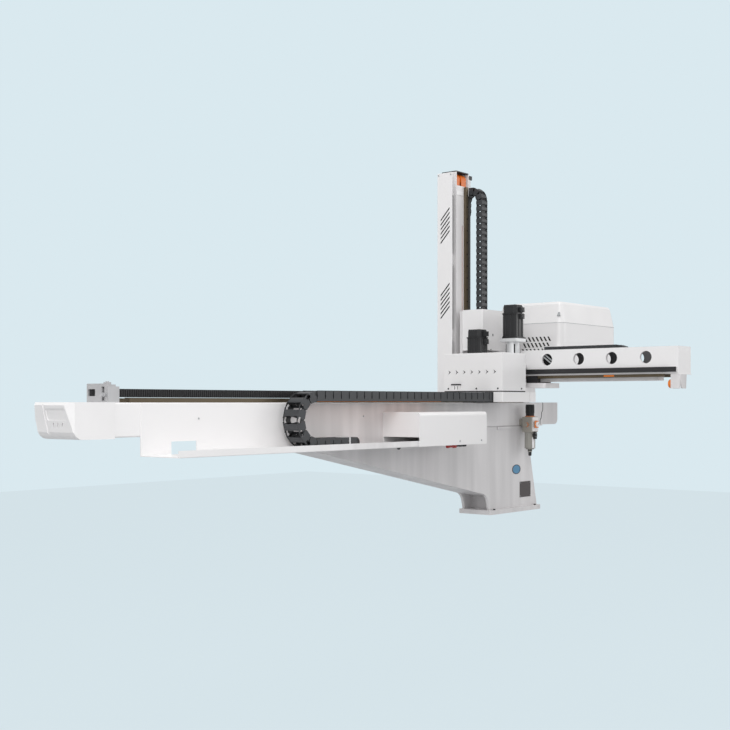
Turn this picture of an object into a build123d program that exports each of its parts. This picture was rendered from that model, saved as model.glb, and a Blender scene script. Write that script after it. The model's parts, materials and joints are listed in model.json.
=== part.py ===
from build123d import *
import os
from math import cos, radians, sin, tan

# Traverse take-out manipulator, in millimetres. The origin is the middle of the base flange's
# underside, +X runs along the traverse beam, +Y is the crosswise stroke and +Z is up.
os.makedirs("parts", exist_ok=True)

# Pedestal
base_length = 470.0
base_width = 190.0
base_thickness = 22.0
base_bolt_span_x = 380.0
base_bolt_span_y = 90.0
base_bolt_hole = 18.0
front_face = -75.0
pedestal_width = 160.0
pedestal_plate = 14.0
foot_left = -216.0
foot_right = 227.0
knee = (165.0, 278.0)
shoulder_right = 112.0
gusset_tip = -1830.0
gusset_tip_height = 14.0
gusset_heel = (-236.0, 98.0)
gusset_fillet = 58.0
foot_web = -148.0
rear_web = -12.0
top_flange_lip = 6.0

# Traverse beam
beam_left = -2600.0
beam_right = 285.0
beam_bottom = 430.0
beam_height = 120.0
beam_width = 190.0
beam_wall = 8.0
beam_corner = 6.0
left_cover_end = -2708.0
left_cover_length = 191.0
left_cover_margin = 4.0
right_cover_length = 154.0
cover_wall = 3.5
rail_width = 15.0
rail_height = 15.0
rail_left = -2445.0
rail_right = 104.0
front_rail_y = -60.0
rear_rail_y = 93.0

# Front skirt with its chain tray, and the cable entry box on it
sheet = 3.0
skirt_left = -2405.0
skirt_right = -282.0
skirt_bottom = 362.0
skirt_top = 546.0
tray_depth = 200.0
tray_right = -546.0
tray_lip = 25.0
window_left = -2265.0
window_width = 120.0
window_height = 46.0
entry_box_length = 511.0
entry_box_top = 509.0
entry_box_mouth = 37.0
entry_box_radius = 16.0

# Energy chains
chain_pitch = 49.0
chain_height = 43.0
chain_width = 78.0
chain_plate = 4.0
chain_joint_angle = 30.0
chain_gap = 0.3
chain_bend_x = -1600.0
chain_upper_links = 27
chain_lower_links = 5
chain_inset = 26.0
small_pitch = 30.6
small_height = 36.0
small_width = 50.0
small_plate = 3.0
small_joint_angle = 36.0

# Belts and drives
belt_width = 29.0
belt_thickness = 4.0
belt_bottom = 568.0
belt_line_y = -42.0
belt_clearance = 0.3
idler_path_radius = 12.0
drive_path_radius = 24.0
traverse_drive_x = -220.0
traverse_drive_y = -7.0
motor_size = 86.0
motor_chamfer = 9.0
shaft_radius = 8.0
shaft_fit = 0.05
anchor_length = 52.0
left_anchor_x = -2476.0
right_anchor_x = 140.0
anchor_front = -45.0
anchor_width = 106.0
anchor_height = 62.0
anchor_block_height = 55.0
anchor_block_depth = 21.0
anchor_opening = (22.0, 46.0)
tension_screw_rise = 26.0

# Carriage
travel_traverse = 2100.0
plate_bottom = 600.0
plate_thickness = 22.0
carriage_left = -345.0
carriage_front = -235.0
carriage_back = 108.0
plate_step_x = -47.0
carriage_right = 105.0
guide_length = 60.0
guide_width = 28.0
guide_height = 27.0
saddle_front = -285.0
saddle_thickness = 24.0
cover_right = -139.0
cover_bottom = 606.0
cover_top = 788.0
cover_sheet = 2.5
chevron_count = 7
chevron_pitch = 43.7
chevron_first_y = 73.0
chevron_z = 697.0
apron_bottom = 552.0
bumper_radius = 12.0
bumper_gap = 2.0
lug_width = 40.0
lug_thickness = 20.0
lug_y = 30.0

# Cross beam
travel_crosswise = 500.0
cross_left = -35.0
cross_width = 134.0
cross_front = -973.0
cross_back = 113.0
cross_floor_bottom = 682.0
cross_floor = 8.0
cross_wall = 6.0
cross_wall_inset = 7.0
cross_wall_top = 805.0
cross_hole = 58.0
cross_hole_pitch = 174.7
cross_hole_first_y = -292.0
cross_hole_shift = 100.0
cross_cover_bottom = 713.0
cross_rail_height = 14.0
cross_guide_width = 34.0
crosswise_belt_bottom = 690.0
crosswise_belt_width = 23.0
crosswise_belt_offset = 10.0
crosswise_drive_x = -91.0
crosswise_drive_y = -132.0
crosswise_drive_radius = 26.0
cross_chain_bend_y = -646.5
cross_chain_upper_links = 13
cross_chain_lower_links = 3
cross_chain_x = 35.0
drive_shelf_bottom = 720.0
drive_shelf = 15.0
stop_block_height = 68.0
stop_block_length = 44.0
stop_block_width = 74.0
bumper_length = 18.0

# Control box
box_left = 125.0
box_right = 697.0
box_front = -285.0
box_back = 105.0
box_bottom = 700.0
box_seam = 953.0
box_top = 1060.0
box_corner = 34.0
lid_taper = 12.0
lid_crown = 12.0
vent_rows = 3
vent_columns = 6
vent_pitch_y = 23.0
vent_pitch_z = 30.0

# Vertical arm
travel_vertical = 600.0
arm_plate_back = 127.0
arm_plate_bottom = 640.0
arm_plate_top = 1010.0
arm_plate_left = -178.0
drive_cover_left = -175.0
drive_cover_right = 108.0
drive_cover_front = -8.0
drive_cover_bottom = 811.0
drive_cover_top = 1014.0
arm_left = -170.0
arm_right = -58.0
arm_front = 155.0
arm_back = 246.0
arm_bottom = 550.0
arm_top = 1718.0
arm_wall = 5.0
arm_cover_left = -206.0
arm_cover_drop = 7.5
arm_slot_ends = (150.0, 268.0)
arm_spacers = (0.078, 0.284, 0.612, 0.87)
arm_vents = (270.5, 660.5)
arm_rail_x = -94.0
arm_rail_width = 18.0
arm_rail_drop = 71.0
belt_end_drop = 41.0
vertical_belt_left = -79.0
vertical_belt_width = 30.0
vertical_belt_y = 153.0
vertical_drive_y = 80.0
vertical_drive_z = 905.0
vertical_motor_size = 60.0
pulley_drop = 32.0
pulley_rise = 40.0
pulley_y = 190.0
arm_pulley_path_radius = 27.0
telescope_belt = 3.0
axle_radius = 6.0
axle_fit = 0.05
cap_thickness = 5.0
arm_chain_x = -33.0
arm_chain_y = 92.0
arm_chain_bend_z = 1584.5
arm_chain_links = 20
arm_chain_inner_links = 2
inner_left = -33.0
inner_right = 47.0
inner_front = 213.0
inner_back = 273.0
inner_bottom = 470.0
inner_drop = 6.0
inner_wall = 5.0
inner_rail_y = 228.5
inner_cap = 20.0
belt_hook_left = -118.0
belt_hook_right = -86.0
belt_hook_drop = (112.0, 72.0)

# Wrist
wrist_drop = 85.0
wrist_cheek = 10.0
wrist_shaft = 8.0
wrist_block_half = 18.0
flange_diameter = 80.0
flange_thickness = 12.0
flange_pcd = 50.0
flange_hole = 6.6
flange_reach = 62.0

# Values that follow from the ones above
beam_top = beam_bottom + beam_height
beam_back = front_face + beam_width
anchor_back = anchor_front + anchor_width
plate_top = plate_bottom + plate_thickness
saddle_top = plate_top + saddle_thickness
cross_right = cross_left + cross_width
cross_floor_top = cross_floor_bottom + cross_floor
chain_radius = chain_pitch / 2 / sin(radians(chain_joint_angle / 2))
small_radius = small_pitch / 2 / sin(radians(small_joint_angle / 2))
chain_y = (front_face - chain_inset) - chain_width / 2
tray_top = skirt_bottom + sheet
chain_low_z = tray_top + chain_gap + chain_height / 2
chain_mid_z = chain_low_z + chain_radius
chain_high_z = chain_low_z + 2 * chain_radius
shelf_top = drive_shelf_bottom + drive_shelf
arm_chain_start_z = arm_chain_bend_z - arm_chain_links * small_pitch
arm_cover_top = arm_top - arm_cover_drop
arm_rail_top = arm_top - arm_rail_drop
pulley_top_z = arm_top - pulley_drop
pulley_bottom_z = arm_bottom + pulley_rise
inner_top = arm_top - inner_drop
mid_lower = Align.MIN
left, right, forward, backward = (-1, 0, 0), (1, 0, 0), (0, -1, 0), (0, 1, 0)
up, down = (0, 0, 1), (0, 0, -1)
upright = (Align.CENTER, Align.CENTER, mid_lower)


def block(x, y, z, mode=Mode.ADD):
    """A box between two values along each axis."""
    with Locations(((x[0] + x[1]) / 2, (y[0] + y[1]) / 2, (z[0] + z[1]) / 2)):
        Box(x[1] - x[0], y[1] - y[0], z[1] - z[0], mode=mode)


def rod(start, direction, radius, length, mode=Mode.ADD):
    """A cylinder that starts at a point and runs along a direction."""
    with Locations(Plane(origin=start, z_dir=direction).location):
        Cylinder(radius, length, align=upright, mode=mode)


def prism(start, direction, radius, length, sides=20):
    """A polygonal drum, for rollers that need no exact round."""
    with BuildSketch(Plane(origin=start, z_dir=direction)) as ring:
        RegularPolygon(radius, sides)
    extrude(ring.sketch, amount=length)


def write(piece, name):
    """Labels a finished piece and writes it to its own file."""
    piece.part.label = name
    export_step(piece.part, f"parts/{name}.step")


# The pedestal is a weldment: two side plates that run on under the beam as a gusset, webs between
# them that leave both ends of the foot open, and a flange that bolts to the machine.
side_outline = [
    (foot_right, base_thickness),
    knee,
    (shoulder_right, beam_bottom),
    (gusset_tip, beam_bottom),
    (gusset_tip, beam_bottom - gusset_tip_height),
    gusset_heel,
    (foot_left, base_thickness),
]
gusset_slope = (beam_bottom - gusset_tip_height - gusset_heel[1]) / (gusset_heel[0] - gusset_tip)
pedestal_back = front_face + pedestal_width
inner_front_y = front_face + pedestal_plate
inner_back_y = pedestal_back - pedestal_plate


def lower_edge(x):
    """Height of the gusset's lower edge at a place along the beam."""
    return gusset_heel[1] + (gusset_heel[0] - x) * gusset_slope


with BuildPart() as pedestal:
    with BuildSketch():
        RectangleRounded(base_length, base_width, 8)
        with GridLocations(base_bolt_span_x, base_bolt_span_y, 2, 2):
            Circle(base_bolt_hole / 2, mode=Mode.SUBTRACT)
    extrude(amount=base_thickness)
    for plate_y in (inner_front_y, pedestal_back):
        with BuildSketch(Plane.XZ.offset(-plate_y)) as side:
            with BuildLine():
                Polyline(*side_outline, close=True)
            make_face()
            heel = side.vertices().sort_by_distance(Vector(gusset_heel[0], gusset_heel[1]))
            fillet(heel[0], gusset_fillet)
        extrude(amount=pedestal_plate)
    with BuildSketch(Plane.XZ.offset(-inner_back_y)):
        with BuildLine():
            Polyline(
                (gusset_tip, lower_edge(gusset_tip)),
                (foot_web, lower_edge(foot_web)),
                (foot_web, lower_edge(foot_web) + pedestal_plate),
                (gusset_tip, lower_edge(gusset_tip) + pedestal_plate),
                close=True,
            )
        make_face()
    extrude(amount=inner_back_y - inner_front_y)
    between = (inner_front_y, inner_back_y)
    block((foot_web, foot_web + pedestal_plate), between, (base_thickness, beam_bottom))
    block((rear_web, rear_web + pedestal_plate), between, (base_thickness, beam_bottom))
    block(
        (foot_web, shoulder_right + top_flange_lip),
        (front_face - top_flange_lip, pedestal_back + top_flange_lip),
        (beam_bottom - pedestal_plate, beam_bottom),
    )
write(pedestal, "pedestal")

# The beam is a rectangular tube with rounded long edges, closed by a cover on each end.
beam_mid_y = (front_face + beam_back) / 2
beam_mid_z = beam_bottom + beam_height / 2
beam_section = Plane(origin=(beam_left, beam_mid_y, beam_mid_z), x_dir=(0, 1, 0), z_dir=(1, 0, 0))
with BuildPart() as traverse_beam:
    with BuildSketch(beam_section):
        RectangleRounded(beam_width, beam_height, beam_corner)
        RectangleRounded(
            beam_width - 2 * beam_wall, beam_height - 2 * beam_wall, beam_corner / 2,
            mode=Mode.SUBTRACT,
        )
    extrude(amount=beam_right - beam_left)
write(traverse_beam, "traverse_beam")

# Moulded left end cover: a sleeve over the beam's end, with a leaning head whose lower edge is cut
# back. The near side's edge is bevelled and the far side's is a larger bevel.
left_cover_right = left_cover_end + left_cover_length
nose_lean = 18.0
nose_bottom_radius = 40.0
nose_top_cut = 10.0
nose_near_bevel = 26.0
nose_far_bevel = 12.0
panel_width = 104.0
panel_height = 40.0
panel_depth = 2.5
nose_slot = 15.0
cover_bottom_z = beam_bottom - left_cover_margin
cover_top_z = beam_top + 1.0
cover_front_y = front_face - left_cover_margin
cover_back_y = beam_back + left_cover_margin
with BuildPart() as beam_end_cover_left:
    with BuildSketch(Plane.XZ.offset(-cover_back_y)):
        with BuildLine():
            Polyline(
                (left_cover_end + nose_top_cut, cover_top_z), (left_cover_right, cover_top_z),
                (left_cover_right, cover_bottom_z),
                *[
                    (
                        left_cover_end + nose_lean + nose_bottom_radius * (1 - cos(radians(turn))),
                        cover_bottom_z + nose_bottom_radius * (1 - sin(radians(turn))),
                    )
                    for turn in (90, 67.5, 45, 22.5, 0)
                ],
                (left_cover_end, cover_top_z - nose_top_cut), close=True,
            )
        make_face()
    extrude(amount=cover_back_y - cover_front_y)
    with BuildSketch(Plane.XY.offset(cover_bottom_z - 1)):
        with BuildLine():
            Polyline(
                (left_cover_end - 1, cover_front_y - 1), (left_cover_end + nose_near_bevel, cover_front_y - 1),
                (left_cover_end - 1, cover_front_y + nose_near_bevel), close=True,
            )
        make_face()
        with BuildLine():
            Polyline(
                (left_cover_end - 1, cover_back_y + 1), (left_cover_end + nose_far_bevel, cover_back_y + 1),
                (left_cover_end - 1, cover_back_y - nose_far_bevel), close=True,
            )
        make_face()
    extrude(amount=cover_top_z - cover_bottom_z + 2, mode=Mode.SUBTRACT)
    block(
        (left_cover_end + 62, left_cover_right + 1), (front_face, beam_back), (beam_bottom, beam_top),
        Mode.SUBTRACT,
    )
    block(
        (left_anchor_x - anchor_length - 1, left_cover_right + 1), (anchor_front - 7, anchor_back + 1),
        (beam_top, cover_top_z + 1), Mode.SUBTRACT,
    )
    panel_z = beam_mid_z + 20
    slope = nose_lean / (cover_top_z - nose_top_cut - cover_bottom_z - nose_bottom_radius)
    panel_x = left_cover_end + (cover_top_z - nose_top_cut - panel_z) * slope
    panel_plane = Plane(origin=(panel_x, 0, panel_z), x_dir=(0, -1, 0), z_dir=(-1, 0, -slope))
    with BuildSketch(panel_plane):
        RectangleRounded(panel_width, panel_height, 6)
    extrude(amount=-panel_depth, mode=Mode.SUBTRACT)
    with BuildSketch(panel_plane.offset(2)):
        for k in (-1, 0, 1):
            with Locations((k * 24.0, -36.0)):
                Rectangle(nose_slot, 4.5, rotation=65)
    extrude(amount=-8, mode=Mode.SUBTRACT)
    with BuildSketch(panel_plane.offset(20)):
        with Locations((-62, 0)):
            Rectangle(8, 200)
    extrude(amount=-23, mode=Mode.SUBTRACT)
write(beam_end_cover_left, "beam_end_cover_left")

right_cover_bottom = 436.0
with BuildPart() as beam_end_cover_right:
    with BuildSketch(Plane.XZ.offset(-beam_back)) as tail:
        with BuildLine():
            Polyline(
                (beam_right, beam_top),
                (beam_right + right_cover_length, beam_top),
                (beam_right + right_cover_length, right_cover_bottom),
                (beam_right - 12, right_cover_bottom),
                (beam_right - 12, beam_top - 52),
                (beam_right, beam_top - 40),
                close=True,
            )
        make_face()
        far = tail.vertices().group_by(Axis.X)[-1].sort_by(Axis.Y)
        fillet(far[0], 30)
        fillet(far[1], 9)
    extrude(amount=beam_width)
    block(
        (beam_right - 20, beam_right + right_cover_length - cover_wall),
        (front_face + cover_wall, beam_back - cover_wall),
        (right_cover_bottom + 30, beam_top - 9),
        Mode.SUBTRACT,
    )
    block(
        (beam_right - 13, beam_right), (front_face - 1, beam_back + 1), (beam_bottom, beam_top + 1),
        Mode.SUBTRACT,
    )
write(beam_end_cover_right, "beam_end_cover_right")

# Skirt: one bent sheet with the upright panel, the chain tray and the tray's turned-up lip.
tray_front = front_face - tray_depth
with BuildPart() as front_skirt_panel:
    block((skirt_left, skirt_right), (front_face - sheet, front_face), (skirt_bottom, skirt_top))
    block((skirt_left, tray_right), (tray_front, front_face), (skirt_bottom, tray_top))
    block((skirt_left, tray_right), (tray_front, tray_front + sheet), (skirt_bottom, skirt_bottom + tray_lip))
    fillet(
        front_skirt_panel.edges().filter_by(Axis.X).filter_by_position(
            Axis.Y, tray_front - 1, tray_front + 0.5
        ).sort_by(Axis.Z)[0],
        sheet * 0.9,
    )
    block(
        (window_left, window_left + window_width), (front_face - sheet - 1, front_face + 1),
        (tray_top, tray_top + window_height), Mode.SUBTRACT,
    )
write(front_skirt_panel, "front_skirt_panel")

# Cable entry box: a folded cover on the tray, open below and with a low mouth in its left wall.
entry_left = tray_right - entry_box_length
entry_front = tray_front - sheet
entry_back = front_face - sheet
with BuildPart() as cable_entry_box:
    block((entry_left, tray_right), (entry_front, entry_back), (skirt_bottom, entry_box_top))
    crown = cable_entry_box.edges().group_by(Axis.Z)[-1].filter_by(Axis.X).sort_by(Axis.Y)[0]
    fillet(crown, entry_box_radius)
    with BuildSketch(Plane.YZ.offset(entry_left + sheet)) as inner:
        with Locations(((entry_front + entry_back) / 2, (skirt_bottom + entry_box_top) / 2)):
            Rectangle(entry_back - entry_front - 2 * sheet, entry_box_top - skirt_bottom - 2 * sheet)
        fillet(inner.vertices().group_by(Axis.Y)[-1].sort_by(Axis.X)[0], entry_box_radius - sheet)
    extrude(amount=entry_box_length - 2 * sheet, mode=Mode.SUBTRACT)
    block(
        (entry_left - 1, tray_right + 1), (entry_front + sheet, entry_back + 1), (skirt_bottom - 1, tray_top),
        Mode.SUBTRACT,
    )
    block(
        (entry_left + sheet, tray_right - sheet), (entry_front + sheet, entry_back - sheet),
        (skirt_bottom - 1, entry_box_top - 40), Mode.SUBTRACT,
    )
    block(
        (entry_left - 1, entry_left + sheet + 1), (entry_front + sheet, entry_back - sheet),
        (skirt_bottom - 1, tray_top + entry_box_mouth), Mode.SUBTRACT,
    )
    block(
        (entry_left - 1, tray_right + 1), (tray_front, tray_front + sheet),
        (skirt_bottom - 1, skirt_bottom + tray_lip), Mode.SUBTRACT,
    )
write(cable_entry_box, "cable_entry_box")

with BuildPart() as traverse_rails:
    for rail_y in (front_rail_y, rear_rail_y):
        block(
            (rail_left, rail_right), (rail_y - rail_width / 2, rail_y + rail_width / 2),
            (beam_top, beam_top + rail_height),
        )
write(traverse_rails, "traverse_rails")


def omega_belt(plane, start, end, line, drive, path_radius, width):
    """A belt along the plane's x direction that leaves its line to pass over a drive pulley.

    line is the straight runs' distance from the plane's x axis, and drive is the pulley's centre.
    """
    reach = path_radius + idler_path_radius
    with BuildSketch(plane) as loop:
        with BuildLine():
            left_run = Line((start, line), (drive[0] - reach, line))
            first_idler = JernArc(left_run @ 1, left_run % 1, idler_path_radius, 90)
            rise = Line(first_idler @ 1, (drive[0] - path_radius, drive[1]))
            over = JernArc(rise @ 1, rise % 1, path_radius, -180)
            fall = Line(over @ 1, (drive[0] + path_radius, line + idler_path_radius))
            second_idler = JernArc(fall @ 1, fall % 1, idler_path_radius, 90)
            Line(second_idler @ 1, (end, line))
        trace(line_width=belt_thickness)
    extrude(loop.sketch, amount=width)


def drum(centre, direction, path_radius, width):
    """A flanged belt pulley whose belt runs on the path radius."""
    face = path_radius - belt_thickness / 2 - belt_clearance
    back = Vector(centre) - Vector(direction) * 2
    prism(back, direction, face, width + 4)
    prism(back, direction, path_radius, 1.6)
    prism(Vector(centre) + Vector(direction) * (width + 0.4), direction, path_radius, 1.6)


idler_radius = idler_path_radius - belt_thickness / 2 - belt_clearance
traverse_reach = drive_path_radius + idler_path_radius
with BuildPart() as traverse_belt:
    omega_belt(
        Plane.XY.offset(belt_bottom), left_anchor_x, right_anchor_x, belt_line_y,
        (traverse_drive_x, traverse_drive_y), drive_path_radius, belt_width,
    )
write(traverse_belt, "traverse_belt")

# Belt anchors: the left one is a frame with the tensioning screws, the right one a plain clamp.
anchor_top = beam_top + anchor_height
slit = belt_thickness / 2 + belt_clearance


def belt_slit(x):
    """The slit that the belt's end is clamped in."""
    block(x, (belt_line_y - slit, belt_line_y + slit), (belt_bottom - 1, anchor_top + 1), Mode.SUBTRACT)


with BuildPart() as belt_clamps:
    left_end = left_anchor_x - anchor_length
    block_front = anchor_front - 6
    block_back = block_front + anchor_block_depth
    block((left_end, left_anchor_x), (block_front, anchor_back), (beam_top, beam_top + 6))
    block((left_end + 4, left_anchor_x), (block_front, block_back), (beam_top, beam_top + anchor_block_height))
    block((left_end, left_end + 8), (block_back + 9, anchor_back), (beam_top, anchor_top + 3))
    block((left_anchor_x - 16, left_anchor_x), (block_back - 1, anchor_back), (beam_top, anchor_top))
    block((left_end, left_anchor_x), (block_back - 1, anchor_back), (anchor_top - 8, anchor_top))
    opening_z = (beam_top + anchor_opening[0], beam_top + anchor_opening[1])
    block((left_end - 1, left_end + 9), (anchor_back - 46, anchor_back - 8), opening_z, Mode.SUBTRACT)
    screw_y = (block_front + block_back) / 2 + 4
    screw_z = beam_top + tension_screw_rise
    rod((left_end - 14, screw_y, screw_z), right, 4, 24)
    prism((left_end - 9, screw_y, screw_z), right, 8, 7, 6)
    rod((left_anchor_x - 24, block_back + 14, anchor_top - 1), up, 6, 12)
    prism((left_anchor_x - 24, block_back + 14, anchor_top - 1), up, 14, 9, 6)
    belt_slit((left_anchor_x - 17, left_anchor_x + 1))
    right_end = right_anchor_x + anchor_length
    block((right_anchor_x, right_end), (anchor_front - 6, anchor_back), (beam_top, beam_top + 8))
    block((right_anchor_x, right_anchor_x + 20), (anchor_front - 6, anchor_back), (beam_top, anchor_top))
    belt_slit((right_anchor_x - 1, right_anchor_x + 21))
write(belt_clamps, "belt_clamps")

# Rubber stops that meet the lugs under the carriage plate at both ends of the traverse.
lug_left = carriage_left + 3
stop_z = 582.0
with BuildPart() as carriage_bump_stops:
    left_face = lug_left - travel_traverse - bumper_gap
    rod((left_anchor_x, lug_y, stop_z), (1, 0, 0), bumper_radius, left_face - left_anchor_x)
    right_face = carriage_right + bumper_gap
    rod((right_anchor_x, lug_y, stop_z), (-1, 0, 0), bumper_radius, right_anchor_x - right_face)
write(carriage_bump_stops, "carriage_bump_stops")


def chain_link(pitch, height, width, plate, angle):
    """One link about its own middle: x along the chain, y across it and z to the bend's outside.

    Its side plates narrow towards the bend's inside, so that links meet without crossing there.
    """
    ear = height / 2
    narrow = ear * tan(radians(angle / 2))
    half = pitch / 2 - chain_gap
    with BuildPart() as link:
        for side_y in (width / 2, -width / 2 + plate):
            with BuildSketch(Plane.XZ.offset(-side_y)):
                with BuildLine():
                    Polyline((-half + narrow, -ear), (half - narrow, -ear), (half, 0), (half, ear),
                             (-half, ear), (-half, 0), close=True)
                make_face()
            extrude(amount=plate)
        rung = pitch / 6
        for z in ((-ear + 1, -ear + 4), (ear - 4, ear - 1)):
            block((-rung, rung), (-width / 2 + plate / 2, width / 2 - plate / 2), z)
    return link.part


def run_places(start, direction, outward, count, pitch):
    """Frames of the links in a straight run, from its first pin and in the chain's own direction."""
    return [
        Plane(
            origin=Vector(start) + Vector(direction) * (pitch * (k + 0.5)),
            x_dir=direction, z_dir=outward,
        ).location
        for k in range(count)
    ]


def bend_places(centre, first, ahead, radius, angle):
    """Frames of the links in a half turn that starts at the first direction and leads ahead."""
    places = []
    for k in range(round(180 / angle)):
        turn = radians(angle * (k + 0.5))
        out = Vector(first) * cos(turn) + Vector(ahead) * sin(turn)
        along = Vector(first) * -sin(turn) + Vector(ahead) * cos(turn)
        origin = Vector(centre) + out * (radius * cos(radians(angle / 2)))
        places.append(Plane(origin=origin, x_dir=along, z_dir=out).location)
    return places


big_link = chain_link(chain_pitch, chain_height, chain_width, chain_plate, chain_joint_angle)
small_link = chain_link(small_pitch, small_height, small_width, small_plate, small_joint_angle)

with BuildPart() as traverse_chain_upper:
    with Locations(*run_places(
        (chain_bend_x + chain_upper_links * chain_pitch, chain_y, chain_high_z), left, up,
        chain_upper_links, chain_pitch,
    )):
        add(big_link)
write(traverse_chain_upper, "traverse_chain_upper")

with BuildPart() as traverse_chain_bend:
    with Locations(*bend_places(
        (chain_bend_x, chain_y, chain_mid_z), up, left, chain_radius, chain_joint_angle
    )):
        add(big_link)
write(traverse_chain_bend, "traverse_chain_bend")

with BuildPart() as traverse_chain_lower:
    with Locations(*run_places(
        (chain_bend_x, chain_y, chain_low_z), right, down, chain_lower_links, chain_pitch
    )):
        add(big_link)
write(traverse_chain_lower, "traverse_chain_lower")

# Filter regulator on the pedestal's front.
unit_x = 79.5
unit_y = -125.0
unit_size = 60.0
unit_bottom = 400.0
unit_top = 478.0
bowl_radius = 26.0
bowl_bottom = 313.0
drain_bottom = 283.0
knob_radius = 21.5
knob_top = 540.0
half_unit = unit_size / 2
with BuildPart() as regulator_body:
    with BuildSketch(Plane.XY.offset(unit_bottom)):
        with Locations((unit_x, unit_y)):
            RectangleRounded(unit_size, unit_size, 7)
    extrude(amount=unit_top - unit_bottom)
    block((unit_x - 20, unit_x + 20), (unit_y + half_unit, front_face), (beam_bottom + 2, unit_top - 12))
    prism((unit_x, unit_y, unit_top), up, knob_radius - 3, 3)
    prism((unit_x - half_unit - 10, unit_y, unit_bottom + 38), right, 11, 12, 6)
    prism((unit_x, unit_y - half_unit - 11, unit_bottom + 40), backward, 19, 12, 24)
write(regulator_body, "regulator_body")

with BuildPart() as regulator_bowl:
    prism((unit_x, unit_y, bowl_bottom + 6), up, bowl_radius, unit_bottom - bowl_bottom - 6, 24)
    prism((unit_x, unit_y, bowl_bottom), up, bowl_radius - 5, 6, 24)
    prism((unit_x, unit_y, bowl_bottom - 13), up, 11, 13, 12)
    prism((unit_x, unit_y, drain_bottom), up, 8, bowl_bottom - 13 - drain_bottom, 12)
write(regulator_bowl, "regulator_bowl")

with BuildPart() as regulator_knob:
    with BuildSketch(Plane.XY.offset(unit_top + 3.3)):
        with Locations((unit_x, unit_y)):
            RegularPolygon(knob_radius, 16)
            with PolarLocations(knob_radius, 8):
                Rectangle(3, 3, mode=Mode.SUBTRACT)
    extrude(amount=knob_top - unit_top - 3.3)
write(regulator_knob, "regulator_knob")

# Carriage: a stepped plate on four guides, a saddle for the cross beam, two stop lugs and the
# shelf of the crosswise drive.
shelf_left = crosswise_drive_x - 46
shelf_right = cross_left - 3
guide_xs = (carriage_left + 45, carriage_right - 50)
cross_guide_ys = (carriage_front + 30, carriage_back - 38)
cross_rail_xs = (cross_left + cross_guide_width / 2, cross_right - cross_guide_width / 2)
guide_top = beam_top + 3 + guide_height
with BuildPart() as carriage_base:
    plate_front = carriage_front + cover_sheet
    plate_back = carriage_back - cover_sheet
    with BuildSketch(Plane.XY.offset(plate_bottom)):
        with BuildLine():
            Polyline(
                (carriage_left + cover_sheet, plate_front), (plate_step_x, plate_front),
                (plate_step_x, front_face + 3), (carriage_right, front_face + 3),
                (carriage_right, plate_back), (carriage_left + cover_sheet, plate_back), close=True,
            )
        make_face()
        with Locations((traverse_drive_x, traverse_drive_y)):
            Circle(shaft_radius + 6, mode=Mode.SUBTRACT)
    extrude(amount=plate_thickness)
    block((cross_left - 8, carriage_right), (saddle_front, plate_back), (plate_top, saddle_top))
    fillet(
        carriage_base.edges().filter_by(Axis.Z).filter_by_position(Axis.Y, saddle_front - 1, saddle_front + 1),
        12,
    )
    for guide_x in guide_xs:
        for rail_y in (front_rail_y, rear_rail_y):
            block(
                (guide_x - guide_length / 2, guide_x + guide_length / 2),
                (rail_y - guide_width / 2, rail_y + guide_width / 2), (guide_top, plate_bottom),
            )
    for lug_x in (lug_left, carriage_right - lug_thickness):
        block(
            (lug_x, lug_x + lug_thickness), (lug_y - lug_width / 2, lug_y + lug_width / 2),
            (stop_z - bumper_radius - 4, plate_bottom),
        )
    shelf_y = (crosswise_drive_y - 48, crosswise_drive_y + 48)
    block((shelf_left, shelf_right), shelf_y, (drive_shelf_bottom, shelf_top))
    block((shelf_left, shelf_left + 12), shelf_y, (plate_top, drive_shelf_bottom))
    rod(
        (crosswise_drive_x, crosswise_drive_y, drive_shelf_bottom - 1), up, shaft_radius + 6,
        drive_shelf + 2, Mode.SUBTRACT,
    )
write(carriage_base, "carriage_base")


def guide(centre, half, rail_half, z, rail_z, along):
    """A guide carriage: a block with a groove that straddles its rail with a running gap."""
    fit = 0.3
    if along == "x":
        block(
            (centre[0] - guide_length / 2, centre[0] + guide_length / 2),
            (centre[1] - half, centre[1] + half), z,
        )
        block(
            (centre[0] - guide_length, centre[0] + guide_length),
            (centre[1] - rail_half - fit, centre[1] + rail_half + fit), rail_z, Mode.SUBTRACT,
        )
    else:
        block(
            (centre[0] - half, centre[0] + half),
            (centre[1] - guide_length / 2, centre[1] + guide_length / 2), z,
        )
        block(
            (centre[0] - rail_half - fit, centre[0] + rail_half + fit),
            (centre[1] - guide_length, centre[1] + guide_length), rail_z, Mode.SUBTRACT,
        )


with BuildPart() as traverse_guides:
    for guide_x in guide_xs:
        for rail_y in (front_rail_y, rear_rail_y):
            guide(
                (guide_x, rail_y), guide_width / 2, rail_width / 2, (beam_top + 3, guide_top),
                (beam_top, beam_top + rail_height + 0.3), "x",
            )
write(traverse_guides, "traverse_guides")

with BuildPart() as crosswise_guides:
    for rail_x in cross_rail_xs:
        for guide_y in cross_guide_ys:
            guide(
                (rail_x, guide_y), cross_guide_width / 2 - 1, rail_width / 2,
                (saddle_top, cross_floor_bottom - 3),
                (cross_floor_bottom - cross_rail_height - 0.3, cross_floor_bottom), "y",
            )
write(crosswise_guides, "crosswise_guides")

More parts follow.
